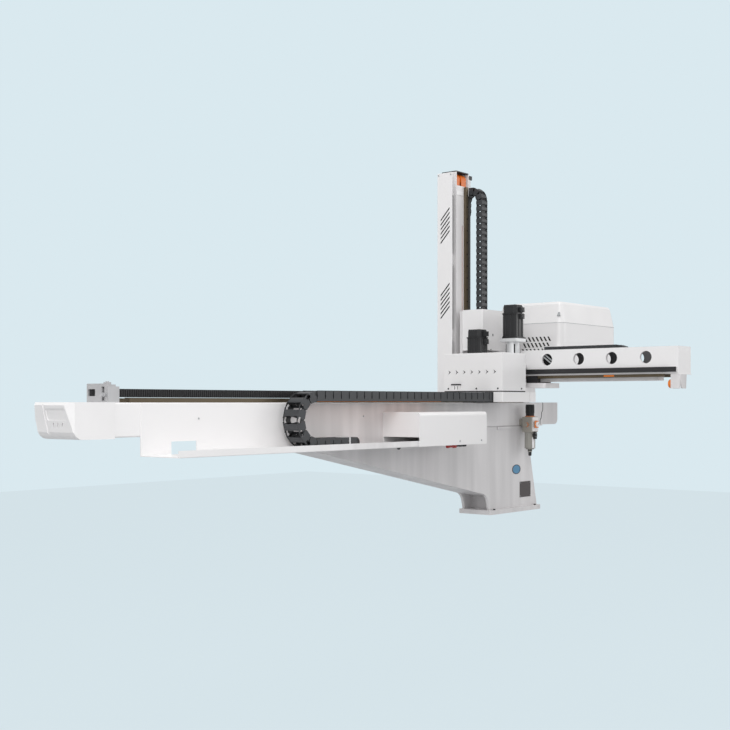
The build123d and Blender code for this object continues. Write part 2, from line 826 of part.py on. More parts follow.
# Folded carriage cover with a row of chevrons in its left face.
with BuildPart() as carriage_cover:
    block((carriage_left, cover_right), (carriage_front, carriage_back), (cover_bottom, cover_top))
    fillet(carriage_cover.edges().group_by(Axis.Z)[-1], 3)
    block(
        (carriage_left + cover_sheet, cover_right - cover_sheet),
        (carriage_front + cover_sheet, carriage_back - cover_sheet),
        (cover_bottom - 1, cover_top - cover_sheet), Mode.SUBTRACT,
    )
    block(
        (cover_right - cover_sheet - 1, cover_right + 1), (carriage_front - 1, carriage_back + 1),
        (cover_bottom - 1, plate_top), Mode.SUBTRACT,
    )
    opening = motor_size / 2 + 3
    block(
        (traverse_drive_x - opening, traverse_drive_x + opening),
        (traverse_drive_y - opening, traverse_drive_y + opening),
        (cover_top - 10, cover_top + 1), Mode.SUBTRACT,
    )
    with BuildSketch(Plane.YZ.offset(carriage_left - 1)):
        for k in range(chevron_count):
            tip = chevron_first_y - k * chevron_pitch
            with BuildLine():
                Polyline(
                    (tip - 8, chevron_z), (tip + 9, chevron_z + 12), (tip + 1, chevron_z),
                    (tip + 9, chevron_z - 12), close=True,
                )
            make_face()
    extrude(amount=cover_sheet + 2, mode=Mode.SUBTRACT)
write(carriage_cover, "carriage_cover")

# Apron in front of the chain's end, under the carriage plate.
with BuildPart() as carriage_apron:
    apron_back = chain_y - chain_width / 2 - 4
    block((carriage_left, -100), (carriage_front, apron_back), (apron_bottom, plate_bottom))
    fillet(carriage_apron.edges().filter_by(Axis.Z).group_by(Axis.Y)[0], 5)
    block((-98, plate_step_x), (carriage_front, apron_back - 8), (apron_bottom, plate_bottom))
write(carriage_apron, "carriage_apron")


def chamfered_square(plane, size, height, cut):
    """An upright body of square section with cut corners."""
    with BuildSketch(plane) as square:
        Rectangle(size, size)
        chamfer(square.vertices(), cut)
    extrude(square.sketch, amount=height)


def servo_motor(plane, size, length):
    """Flange, body and end cap, with two connectors on the body's side."""
    chamfered_square(plane, size + 8, 6, 3)
    chamfered_square(plane.offset(6), size, length - 30, size * 0.11)
    chamfered_square(plane.offset(length - 24), size - 5, 3, size * 0.1)
    chamfered_square(plane.offset(length - 21), size, 21, size * 0.11)


traverse_gear_top = 742.0
traverse_motor_top = 909.0
with BuildPart() as traverse_motor:
    seat = Plane(origin=(traverse_drive_x, traverse_drive_y, plate_top))
    chamfered_square(seat, motor_size, 12, 4)
    rod((traverse_drive_x, traverse_drive_y, plate_top + 12), up, motor_size / 2 - 3, traverse_gear_top - plate_top - 12)
    servo_motor(seat.offset(traverse_gear_top - plate_top), motor_size - 2, traverse_motor_top - traverse_gear_top)
    rod((traverse_drive_x, traverse_drive_y, plate_top - 1), up, shaft_radius + shaft_fit, 25, Mode.SUBTRACT)
    for z in (850, 890):
        block(
            (traverse_drive_x - 14, traverse_drive_x + 14),
            (traverse_drive_y - motor_size / 2 - 7, traverse_drive_y - motor_size / 2 + 4), (z - 9, z + 9),
        )
write(traverse_motor, "traverse_motor")

with BuildPart() as traverse_pulley:
    drum((traverse_drive_x, traverse_drive_y, belt_bottom), up, drive_path_radius, belt_width)
    rod((traverse_drive_x, traverse_drive_y, belt_bottom), up, shaft_radius, plate_top + 20 - belt_bottom)
write(traverse_pulley, "traverse_pulley")

# The crosswise drive stands on the carriage's shelf, beside the cover.
crosswise_motor_bottom = 866.0
crosswise_motor_top = 1032.0
crosswise_reach = crosswise_drive_radius + idler_path_radius
with BuildPart() as crosswise_gearbox:
    top = crosswise_motor_bottom
    prism((crosswise_drive_x, crosswise_drive_y, shelf_top), up, 34, top - 16 - shelf_top, 28)
    prism((crosswise_drive_x, crosswise_drive_y, shelf_top), up, 38, 14, 28)
    chamfered_square(Plane(origin=(crosswise_drive_x, crosswise_drive_y, top - 16)), motor_size + 8, 16, 3)
    rod((crosswise_drive_x, crosswise_drive_y, shelf_top - 1), up, shaft_radius + shaft_fit, 25, Mode.SUBTRACT)
write(crosswise_gearbox, "crosswise_gearbox")

with BuildPart() as crosswise_motor:
    seat = Plane(origin=(crosswise_drive_x, crosswise_drive_y, crosswise_motor_bottom))
    servo_motor(seat, motor_size, crosswise_motor_top - crosswise_motor_bottom)
    for z in (975, 1012):
        block(
            (crosswise_drive_x - 14, crosswise_drive_x + 14),
            (crosswise_drive_y - motor_size / 2 - 8, crosswise_drive_y - motor_size / 2 + 4), (z - 11, z + 11),
        )
write(crosswise_motor, "crosswise_motor")

with BuildPart() as crosswise_pulley:
    drum(
        (crosswise_drive_x, crosswise_drive_y, crosswise_belt_bottom), up,
        crosswise_drive_radius, crosswise_belt_width,
    )
    rod((crosswise_drive_x, crosswise_drive_y, crosswise_belt_bottom), up, shaft_radius, shelf_top + 20 - crosswise_belt_bottom)
write(crosswise_pulley, "crosswise_pulley")

# Idlers of both carriage belts, on short pins under the plate and the shelf.
crosswise_line = crosswise_belt_offset - cross_left
with BuildPart() as belt_idlers:
    for side in (-1, 1):
        idler_x = traverse_drive_x + side * traverse_reach
        idler_y = belt_line_y + idler_path_radius
        prism((idler_x, idler_y, belt_bottom + 1), up, idler_radius, belt_width - 2, 14)
        prism((idler_x, idler_y, belt_bottom + 1), up, 5, plate_bottom - belt_bottom - 1, 8)
        idler_x = -crosswise_line - idler_path_radius
        idler_y = crosswise_drive_y + side * crosswise_reach
        prism((idler_x, idler_y, crosswise_belt_bottom + 1), up, idler_radius, crosswise_belt_width - 2, 14)
        pin_length = drive_shelf_bottom - crosswise_belt_bottom - 1
        prism((idler_x, idler_y, crosswise_belt_bottom + 1), up, 5, pin_length, 8)
write(belt_idlers, "belt_idlers")

# Control box: folded case with vent slots in its left face, and a tapered moulded lid.
with BuildPart() as control_box:
    with BuildSketch(Plane.XY.offset(box_bottom)):
        with Locations(((box_left + box_right) / 2, (box_front + box_back) / 2)):
            RectangleRounded(box_right - box_left, box_back - box_front, box_corner)
    extrude(amount=box_seam - box_bottom)
    with BuildSketch(Plane.XY.offset(box_bottom + cover_sheet)):
        with Locations(((box_left + box_right) / 2, (box_front + box_back) / 2)):
            RectangleRounded(
                box_right - box_left - 2 * cover_sheet, box_back - box_front - 2 * cover_sheet,
                box_corner - cover_sheet,
            )
    extrude(amount=box_seam - box_bottom, mode=Mode.SUBTRACT)
    with BuildSketch(Plane.YZ.offset(box_left - 1)):
        for row in range(vent_rows):
            for column in range(vent_columns):
                y = -60.0 - column * vent_pitch_y - row * 6
                z = 812.0 + row * vent_pitch_z
                with BuildLine():
                    Polyline((y + 9, z + 10), (y + 4, z + 10), (y - 9, z - 10), (y - 4, z - 10), close=True)
                make_face()
    extrude(amount=cover_sheet + 2, mode=Mode.SUBTRACT)
write(control_box, "control_box")

with BuildPart() as control_box_lid:
    with BuildSketch(Plane.XY.offset(box_seam)):
        with Locations(((box_left + box_right) / 2, (box_front + box_back) / 2)):
            RectangleRounded(box_right - box_left, box_back - box_front, box_corner)
    extrude(amount=box_top - box_seam - lid_crown, taper=lid_taper)
    extrude(control_box_lid.faces().sort_by(Axis.Z)[-1], amount=lid_crown, taper=38)
    with BuildSketch(Plane.XY.offset(box_seam)):
        with Locations(((box_left + box_right) / 2, (box_front + box_back) / 2)):
            RectangleRounded(
                box_right - box_left - 2 * cover_wall, box_back - box_front - 2 * cover_wall,
                box_corner - cover_wall,
            )
    extrude(amount=box_top - box_seam - cover_wall, taper=lid_taper + 3, mode=Mode.SUBTRACT)
write(control_box_lid, "control_box_lid")

# Bracket that carries the control box behind the saddle, and the crosswise chain's fixed end.
cross_chain_low_z = cross_floor_top + chain_gap + small_height / 2
cross_chain_mid_z = cross_chain_low_z + small_radius
cross_chain_high_z = cross_chain_low_z + 2 * small_radius
cross_chain_end_y = cross_chain_bend_y + cross_chain_upper_links * small_pitch
chain_top_z = cross_chain_high_z + small_height / 2
with BuildPart() as control_box_bracket:
    block((carriage_right, carriage_right + 12), (front_face + 3, carriage_back - cover_sheet), (plate_bottom, box_bottom))
    block((carriage_right, box_right - 60), (front_face + 3, box_back - 20), (box_bottom - 10, box_bottom))
    with BuildSketch(Plane.XZ.offset(-front_face - 15)):
        with BuildLine():
            Polyline(
                (carriage_right, plate_bottom), (carriage_right + 90, box_bottom - 10),
                (carriage_right, box_bottom - 10), close=True,
            )
        make_face()
    extrude(amount=8)
    arm_y = (cross_chain_end_y - small_pitch, cross_chain_end_y)
    block((cross_chain_x - small_width / 2, box_left), arm_y, (chain_top_z, chain_top_z + 4))
write(control_box_bracket, "control_box_bracket")

# Cross beam: a trough of two pierced walls on a floor plate, with a stiffener below it.
stiffener_bottom = 652.0
with BuildPart() as cross_beam:
    ends = (cross_front, cross_back)
    near_wall = cross_left + cross_wall_inset
    block((cross_left, cross_right), ends, (cross_floor_bottom, cross_floor_top))
    block((near_wall, near_wall + cross_wall), ends, (cross_floor_top, cross_wall_top))
    block((cross_right - cross_wall, cross_right), ends, (cross_floor_top, cross_wall_top))
    for clamp_y in (cross_front, cross_back - 40):
        block(
            (belt_thickness / 2 - crosswise_line, near_wall), (clamp_y, clamp_y + 40),
            (cross_floor_top, cross_cover_bottom),
        )
    middle = (cross_left + cross_right) / 2
    block((middle - 24, middle + 24), (cross_front + 110, cross_back - 8), (stiffener_bottom, cross_floor_bottom))
    hole_z = 760.0
    for k in range(4):
        hole_y = cross_hole_first_y - k * cross_hole_pitch
        rod((near_wall - 1, hole_y, hole_z), right, cross_hole / 2, cross_wall + 2, Mode.SUBTRACT)
        rod(
            (cross_right - cross_wall - 1, hole_y + cross_hole_shift, hole_z), right,
            cross_hole / 2, cross_wall + 2, Mode.SUBTRACT,
        )
write(cross_beam, "cross_beam")

# White cladding of the cross beam: the pierced side sheet, its top fold and the end cap.
with BuildPart() as cross_beam_cover:
    cover_end = cross_front - sheet
    block((cross_left, cross_left + sheet), (cover_end, cross_back), (cross_cover_bottom, cross_wall_top + sheet))
    block(
        (cross_left, near_wall + cross_wall), (cover_end, cross_back),
        (cross_wall_top, cross_wall_top + sheet),
    )
    block((cross_left, cross_right), (cover_end, cross_front), (cross_floor_bottom, cross_wall_top + sheet))
    block((cross_left - 2, cross_right + 2), (cover_end - 4, cross_front), (cross_floor_bottom - 3, cross_floor_bottom))
    for k in range(4):
        hole_y = cross_hole_first_y - k * cross_hole_pitch
        rod((cross_left - 1, hole_y, hole_z), right, cross_hole / 2, sheet + 2, Mode.SUBTRACT)
write(cross_beam_cover, "cross_beam_cover")

cross_rail_front = cross_front + 73
with BuildPart() as crosswise_rails:
    for rail_x in cross_rail_xs:
        block(
            (rail_x - rail_width / 2, rail_x + rail_width / 2), (cross_rail_front, cross_back - 8),
            (cross_floor_bottom - cross_rail_height, cross_floor_bottom),
        )
write(crosswise_rails, "crosswise_rails")

crosswise_plane = Plane(origin=(0, 0, crosswise_belt_bottom), x_dir=(0, 1, 0), z_dir=(0, 0, 1))
with BuildPart() as crosswise_belt:
    omega_belt(
        crosswise_plane, cross_front + 3, cross_back - 8, crosswise_line,
        (crosswise_drive_y, -crosswise_drive_x), crosswise_drive_radius, crosswise_belt_width,
    )
write(crosswise_belt, "crosswise_belt")

# End stop: a folded box under the beam's front end with a urethane bumper that faces the saddle.
stop_front = cross_front - 10
stop_back = stop_front + stop_block_length
with BuildPart() as end_stop_bracket:
    stop_bottom = cross_floor_bottom - stop_block_height
    stop_right = cross_left + stop_block_width
    lip_bottom = cross_floor_bottom - 3
    block((cross_left, cross_left + 8), (stop_front, stop_back), (stop_bottom, lip_bottom))
    block((cross_left, stop_right), (stop_back - 8, stop_back), (stop_bottom, lip_bottom))
    block((cross_left, stop_right), (stop_front, stop_back), (lip_bottom - 8, lip_bottom))
    block((cross_left, stop_right), (cross_front, stop_back), (lip_bottom - 1, cross_floor_bottom))
    with BuildSketch(Plane.XZ.offset(-stop_front - 6)):
        with BuildLine():
            Polyline(
                (cross_left + 1, lip_bottom - 1), (stop_right, lip_bottom - 1), (stop_right - 6, stop_bottom),
                (cross_left + 28, stop_bottom), (cross_left + 8, lip_bottom - 24), close=True,
            )
        make_face()
    extrude(amount=6)
write(end_stop_bracket, "end_stop_bracket")

with BuildPart() as end_stop_bumper:
    stop_z_mid = (plate_top + saddle_top) / 2
    bumper_start = stop_front + stop_block_length
    prism((cross_left + 26, bumper_start, stop_z_mid + 2), backward, 20, bumper_length - 3)
    prism((cross_left + 26, bumper_start + bumper_length - 3, stop_z_mid + 2), backward, 17, 3)
write(end_stop_bumper, "end_stop_bumper")

with BuildPart() as crosswise_chain_upper:
    with Locations(*run_places(
        (cross_chain_x, cross_chain_end_y, cross_chain_high_z), forward, up,
        cross_chain_upper_links, small_pitch,
    )):
        add(small_link)
write(crosswise_chain_upper, "crosswise_chain_upper")

with BuildPart() as crosswise_chain_bend:
    turn = bend_places(
        (cross_chain_x, cross_chain_bend_y, cross_chain_mid_z), up, forward, small_radius, small_joint_angle
    )
    tail_links = run_places(
        (cross_chain_x, cross_chain_bend_y, cross_chain_low_z), backward, down,
        cross_chain_lower_links, small_pitch,
    )
    with Locations(*turn, *tail_links):
        add(small_link)
write(crosswise_chain_bend, "crosswise_chain_bend")

# Arm plate on the cross beam's end: it carries the arm's guides, the vertical drive and a cover.
web_left = vertical_belt_left + vertical_belt_width + 5
window_x = (vertical_belt_left - 2, web_left + 4)
clamp_x = (-117.5, -111.5)
with BuildPart() as arm_plate:
    with BuildSketch(Plane.XZ.offset(-arm_plate_back)) as outline:
        with BuildLine():
            Polyline(
                (arm_plate_left, arm_plate_bottom), (-45, arm_plate_bottom), (-45, cross_floor_bottom),
                (cross_right, cross_floor_bottom), (cross_right, drive_cover_bottom),
                (drive_cover_right, drive_cover_bottom), (drive_cover_right, arm_plate_top),
                (arm_plate_left, arm_plate_top), close=True,
            )
        make_face()
        fillet(outline.vertices().group_by(Axis.Y)[0].sort_by(Axis.X)[0], 10)
    extrude(amount=arm_plate_back - cross_back)
    block(
        window_x, (cross_back - 1, arm_plate_back + 1), (vertical_drive_z - 60, vertical_drive_z + 60),
        Mode.SUBTRACT,
    )
    block((web_left, web_left + 10), (45, 150), (vertical_drive_z - 50, vertical_drive_z + 50))
    rod((web_left - 1, vertical_drive_y, vertical_drive_z), right, 15, 12, Mode.SUBTRACT)
    notch = (arm_chain_x - small_width / 2 - 6, arm_chain_x + small_width / 2 + 6)
    block(notch, (cross_back - 1, arm_plate_back + 1), (978, arm_plate_top + 1), Mode.SUBTRACT)
    block(
        (arm_chain_x - small_width / 2, arm_chain_x + small_width / 2), (arm_chain_y - 18, cross_back),
        (arm_chain_start_z - 6, arm_chain_start_z),
    )
    block(clamp_x, (arm_plate_back, pulley_y - arm_pulley_path_radius - telescope_belt / 2 - 0.3), (750, 780))
write(arm_plate, "arm_plate")

with BuildPart() as vertical_motor:
    axis_plane = Plane(
        origin=(web_left + 10, vertical_drive_y, vertical_drive_z), x_dir=(0, 1, 0), z_dir=(1, 0, 0)
    )
    chamfered_square(axis_plane, vertical_motor_size, 50, 4)
    servo_motor(axis_plane.offset(50), vertical_motor_size - 8, drive_cover_right - 6 - web_left - 60)
    rod(
        (web_left + 9, vertical_drive_y, vertical_drive_z), right, shaft_radius + shaft_fit, 25,
        Mode.SUBTRACT,
    )
write(vertical_motor, "vertical_motor")

with BuildPart() as vertical_pulley:
    drum(
        (vertical_belt_left, vertical_drive_y, vertical_drive_z), right,
        drive_path_radius, vertical_belt_width,
    )
    rod((vertical_belt_left, vertical_drive_y, vertical_drive_z), right, shaft_radius, web_left + 30 - vertical_belt_left)
write(vertical_pulley, "vertical_pulley")

with BuildPart() as vertical_idlers:
    for side in (-1, 1):
        place = (vertical_belt_left + 1, vertical_belt_y - idler_path_radius, vertical_drive_z + side * traverse_reach)
        prism(place, right, idler_radius, vertical_belt_width - 2, 14)
        prism(place, right, 5, web_left - vertical_belt_left - 1, 8)
write(vertical_idlers, "vertical_idlers")

with BuildPart() as vertical_belt:
    omega_belt(
        Plane(origin=(vertical_belt_left, 0, 0), x_dir=(0, 0, 1), z_dir=(1, 0, 0)),
        arm_bottom + 20, arm_rail_top - belt_end_drop, -vertical_belt_y, (vertical_drive_z, -vertical_drive_y),
        drive_path_radius, vertical_belt_width,
    )
write(vertical_belt, "vertical_belt")

arm_guide_zs = (arm_plate_bottom + 45, arm_plate_top - 37)
with BuildPart() as arm_guides:
    for guide_z in arm_guide_zs:
        block(
            (arm_rail_x - 14, arm_rail_x + 14), (arm_plate_back, arm_front - 3),
            (guide_z - guide_length / 2, guide_z + guide_length / 2),
        )
        block(
            (arm_rail_x - arm_rail_width / 2 - 0.3, arm_rail_x + arm_rail_width / 2 + 0.3),
            (arm_front - rail_height - 0.3, arm_front),
            (guide_z - guide_length, guide_z + guide_length), Mode.SUBTRACT,
        )
write(arm_guides, "arm_guides")

with BuildPart() as vertical_drive_cover:
    block(
        (drive_cover_left, drive_cover_right), (drive_cover_front, cross_back),
        (drive_cover_bottom, drive_cover_top),
    )
    fillet(vertical_drive_cover.edges().filter_by(Axis.Z).group_by(Axis.Y)[0], 5)
    block(
        (drive_cover_left + cover_sheet, drive_cover_right - cover_sheet),
        (drive_cover_front + cover_sheet, cross_back + 1),
        (drive_cover_bottom + cover_sheet, drive_cover_top - cover_sheet), Mode.SUBTRACT,
    )
    block(
        (arm_chain_x - small_width / 2 - 4, arm_chain_x + small_width / 2 + 4),
        (arm_chain_y - small_height / 2 - 4, cross_back + 1), (drive_cover_top - 5, drive_cover_top + 1),
        Mode.SUBTRACT,
    )
write(vertical_drive_cover, "vertical_drive_cover")

arm_chain_mid_y = arm_chain_y + small_radius
with BuildPart() as arm_chain_run:
    with Locations(*run_places(
        (arm_chain_x, arm_chain_y, arm_chain_start_z), up, forward, arm_chain_links, small_pitch
    )):
        add(small_link)
write(arm_chain_run, "arm_chain_run")

with BuildPart() as arm_chain_bend:
    arch = bend_places(
        (arm_chain_x, arm_chain_mid_y, arm_chain_bend_z), forward, up, small_radius, small_joint_angle
    )
    drop = run_places(
        (arm_chain_x, arm_chain_y + 2 * small_radius, arm_chain_bend_z), down, backward,
        arm_chain_inner_links, small_pitch,
    )
    with Locations(*arch, *drop):
        add(small_link)
write(arm_chain_bend, "arm_chain_bend")

# Outer arm: a channel that is open behind, with the telescoping belts inside it.
arm_inner_x = (arm_left + arm_wall, arm_right - arm_wall)
arm_slot_z = (arm_bottom + arm_slot_ends[0], arm_top - arm_slot_ends[1])
with BuildPart() as arm_profile:
    block((arm_left, arm_right), (arm_front, arm_back), (arm_bottom, arm_top))
    block(arm_inner_x, (arm_front + arm_wall, arm_back + 1), (arm_bottom - 1, arm_top + 1), Mode.SUBTRACT)
    block((clamp_x[0] - 1.5, clamp_x[1] + 1.5), (arm_front - 1, arm_front + arm_wall + 1), arm_slot_z, Mode.SUBTRACT)
    block(
        (arm_inner_x[0], arm_inner_x[1]), (arm_front - 1, arm_front + arm_wall + 1), (pulley_top_z - 36, arm_top + 1),
        Mode.SUBTRACT,
    )
    for z in (pulley_top_z, pulley_bottom_z):
        rod((arm_left - 1, pulley_y, z), right, axle_radius + axle_fit, arm_right - arm_left + 2, Mode.SUBTRACT)
write(arm_profile, "arm_profile")

with BuildPart() as arm_rail:
    block(
        (arm_rail_x - arm_rail_width / 2, arm_rail_x + arm_rail_width / 2),
        (arm_front - rail_height, arm_front), (arm_bottom + 5, arm_rail_top),
    )
write(arm_rail, "arm_rail")

# Vented sheet cover on the arm's left, stood off on four spacers.
with BuildPart() as arm_cover:
    block((arm_cover_left, arm_cover_left + sheet), (arm_front, arm_back), (arm_bottom, arm_cover_top))
    block((arm_cover_left, arm_left), (arm_back - sheet, arm_back), (arm_bottom, arm_cover_top - 60))
    for part_way in arm_spacers:
        z = arm_bottom + part_way * (arm_cover_top - arm_bottom)
        block((arm_cover_left, arm_left), (arm_front + 20, arm_front + 50), (z, z + 60))
    with BuildSketch(Plane.YZ.offset(arm_cover_left - 1)):
        for drop in arm_vents:
            for k in range(6):
                z = arm_cover_top - drop + k * 30
                with BuildLine():
                    Polyline(
                        (arm_front + 16, z + 48), (arm_front + 16, z + 53), (arm_front + 70, z + 5),
                        (arm_front + 70, z), close=True,
                    )
                make_face()
    extrude(amount=sheet + 1, mode=Mode.SUBTRACT)
write(arm_cover, "arm_cover")

with BuildPart() as arm_cap:
    block((arm_left, arm_right), (arm_front, arm_back), (arm_top, arm_top + cap_thickness))
    chamfer(arm_cap.edges().filter_by(Axis.Z), 3)
write(arm_cap, "arm_cap")

pulley_spans = ((arm_inner_x[0] + 1, -128.0), (-119.0, -72.0))
with BuildPart() as telescope_belts:
    for span in pulley_spans:
        middle_z = (pulley_top_z + pulley_bottom_z) / 2
        section = Plane(origin=(span[0] + 3, pulley_y, middle_z), x_dir=(0, 0, 1), z_dir=(1, 0, 0))
        with BuildSketch(section):
            centres = pulley_top_z - pulley_bottom_z
            SlotCenterToCenter(centres, 2 * arm_pulley_path_radius + telescope_belt)
            SlotCenterToCenter(centres, 2 * arm_pulley_path_radius - telescope_belt, mode=Mode.SUBTRACT)
        extrude(amount=span[1] - span[0] - 6)
write(telescope_belts, "telescope_belts")


def arm_pulleys(z):
    """Two drums on one axle that turns in the channel's side walls."""
    face = arm_pulley_path_radius - telescope_belt / 2 - belt_clearance
    for span in pulley_spans:
        prism((span[0], pulley_y, z), right, face, span[1] - span[0], 24)
    rod((arm_left, pulley_y, z), right, axle_radius, arm_right - arm_left)


with BuildPart() as arm_top_pulleys:
    arm_pulleys(pulley_top_z)
write(arm_top_pulleys, "arm_top_pulleys")

with BuildPart() as arm_bottom_pulleys:
    arm_pulleys(pulley_bottom_z)
write(arm_bottom_pulleys, "arm_bottom_pulleys")

# Guides on the outer arm's right side that the inner arm's rail runs in.
with BuildPart() as telescope_guides:
    for guide_z in (arm_bottom + 40, arm_bottom + 190):
        block(
            (arm_right, inner_left - 3), (inner_rail_y - 15, inner_rail_y + 15),
            (guide_z - guide_length / 2, guide_z + guide_length / 2),
        )
        block(
            (inner_left - rail_height - 0.3, inner_left),
            (inner_rail_y - rail_width / 2 - 0.3, inner_rail_y + rail_width / 2 + 0.3),
            (guide_z - guide_length, guide_z + guide_length), Mode.SUBTRACT,
        )
write(telescope_guides, "telescope_guides")

# Inner arm: a closed tube beside the channel, with the belt clamp that reaches in from behind.
clamp_z = (inner_top - belt_hook_drop[0], inner_top - belt_hook_drop[1])
rear_belt = pulley_y + arm_pulley_path_radius + telescope_belt / 2
with BuildPart() as inner_arm:
    with BuildSketch(Plane.XY.offset(inner_bottom)):
        with Locations(((inner_left + inner_right) / 2, (inner_front + inner_back) / 2)):
            RectangleRounded(inner_right - inner_left, inner_back - inner_front, 6)
            RectangleRounded(
                inner_right - inner_left - 2 * inner_wall, inner_back - inner_front - 2 * inner_wall, 2,
                mode=Mode.SUBTRACT,
            )
    extrude(amount=inner_top - inner_bottom)
    block((belt_hook_left, inner_left + 1), (arm_back + 3, arm_back + 13), clamp_z)
    block((belt_hook_left, belt_hook_right), (rear_belt + 0.3, arm_back + 3), clamp_z)
write(inner_arm, "inner_arm")

with BuildPart() as inner_arm_rail:
    block(
        (inner_left - rail_height, inner_left),
        (inner_rail_y - rail_width / 2, inner_rail_y + rail_width / 2), (inner_bottom + 8, inner_top - 10),
    )
write(inner_arm_rail, "inner_arm_rail")

with BuildPart() as inner_arm_cap:
    block((inner_left - 7, inner_right + 10), (inner_front - 2, inner_back + 6), (inner_top, inner_top + inner_cap))
    chamfer(inner_arm_cap.edges().filter_by(Axis.Z), 3)
write(inner_arm_cap, "inner_arm_cap")

# Wrist: a fork under the inner arm, and a turning block with the gripper flange.
wrist_x = (inner_left + inner_right) / 2
wrist_y = (inner_front + inner_back) / 2
wrist_z = inner_bottom - wrist_drop
half_wrist = (inner_right - inner_left) / 2
cheek_z = (wrist_z - 25, inner_bottom - 16)
with BuildPart() as wrist_fork:
    block((inner_left, inner_right), (inner_front, inner_back), (inner_bottom - 16, inner_bottom))
    for cheek_x in (inner_left, inner_right - wrist_cheek):
        block((cheek_x, cheek_x + wrist_cheek), (wrist_y - 25, wrist_y + 25), cheek_z)
    prism((inner_right, wrist_y, wrist_z), right, 24, 34, 28)
    rod((inner_left - 1, wrist_y, wrist_z), right, wrist_shaft + shaft_fit, 2 * half_wrist + 22, Mode.SUBTRACT)
write(wrist_fork, "wrist_fork")

with BuildPart() as gripper_flange:
    rod((inner_left, wrist_y, wrist_z), right, wrist_shaft, 2 * half_wrist + 20)
    block(
        (inner_left + wrist_cheek + 2, inner_right - wrist_cheek - 2),
        (wrist_y - wrist_block_half, wrist_y + wrist_block_half),
        (wrist_z - flange_reach + flange_thickness, wrist_z + 25),
    )
    with BuildSketch(Plane.XY.offset(wrist_z - flange_reach)):
        with Locations((wrist_x, wrist_y)):
            RegularPolygon(flange_diameter / 2, 36)
        with Locations((wrist_x, wrist_y)):
            with PolarLocations(flange_pcd / 2, 4, start_angle=45):
                Circle(flange_hole / 2, mode=Mode.SUBTRACT)
    extrude(amount=flange_thickness)
write(gripper_flange, "gripper_flange")
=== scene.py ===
import json
from math import asin, cos, pi, radians, sin

import bmesh
import bpy
from mathutils import Matrix, Vector


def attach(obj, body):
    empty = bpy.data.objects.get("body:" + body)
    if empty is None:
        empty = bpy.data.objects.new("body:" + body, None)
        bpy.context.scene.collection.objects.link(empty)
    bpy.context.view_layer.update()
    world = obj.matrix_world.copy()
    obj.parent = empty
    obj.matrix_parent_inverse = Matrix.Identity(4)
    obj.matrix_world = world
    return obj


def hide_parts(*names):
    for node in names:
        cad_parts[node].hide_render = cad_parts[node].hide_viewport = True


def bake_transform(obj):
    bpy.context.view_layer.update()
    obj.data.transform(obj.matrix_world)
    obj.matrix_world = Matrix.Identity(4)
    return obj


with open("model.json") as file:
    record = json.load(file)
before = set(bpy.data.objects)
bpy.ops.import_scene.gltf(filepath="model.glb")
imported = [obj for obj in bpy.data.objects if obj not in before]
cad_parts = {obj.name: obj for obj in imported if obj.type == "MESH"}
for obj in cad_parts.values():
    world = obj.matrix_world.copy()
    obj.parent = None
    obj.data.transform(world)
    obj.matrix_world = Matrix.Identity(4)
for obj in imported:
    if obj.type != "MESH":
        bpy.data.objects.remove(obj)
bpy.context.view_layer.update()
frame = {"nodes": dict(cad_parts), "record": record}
nodes = frame["nodes"]
scene = bpy.context.scene


def report(words):
    print("stage:", words)


# Camera: the photograph's eye, level with the beam and looking along the arm's side
cameraSet = {
    "eye": (-5.072, -3.275, 0.55),
    "look": (0.773, 0.635, 0.0),
    "focalPixels": 1180.0,
    "imageSize": 730.0,
    "horizonRow": 402.5,
    "sensor": 36.0,
    "clipEnd": 60.0,
}


def makeCamera(s):
    data = bpy.data.cameras.new("photoEye")
    data.sensor_width = s["sensor"]
    data.lens = s["focalPixels"] / s["imageSize"] * s["sensor"]
    data.shift_y = (s["horizonRow"] - s["imageSize"] / 2) / s["imageSize"]
    data.clip_end = s["clipEnd"]
    eye = bpy.data.objects.new("photoEye", data)
    eye.location = s["eye"]
    eye.rotation_euler = Vector(s["look"]).to_track_quat("-Z", "Y").to_euler()
    scene.collection.objects.link(eye)
    scene.camera = eye


makeCamera(cameraSet)
report("camera")


# Shader kit: a wrapped socket that takes part in expressions, and one method for every other node
class Flow:
    def __init__(self, book, socket):
        self.book = book
        self.socket = socket

    def maths(self, operation, other, swapped=False):
        first, second = (other, self) if swapped else (self, other)
        return self.book.node("ShaderNodeMath", {"operation": operation}, {0: first, 1: second})

    def __add__(self, other):
        return self.maths("ADD", other)

    __radd__ = __add__

    def __mul__(self, other):
        return self.maths("MULTIPLY", other)

    __rmul__ = __mul__

    def __sub__(self, other):
        return self.maths("SUBTRACT", other)

    def __rsub__(self, other):
        return self.maths("SUBTRACT", other, True)

    def __truediv__(self, other):
        return self.maths("DIVIDE", other)

    def __rtruediv__(self, other):
        return self.maths("DIVIDE", other, True)


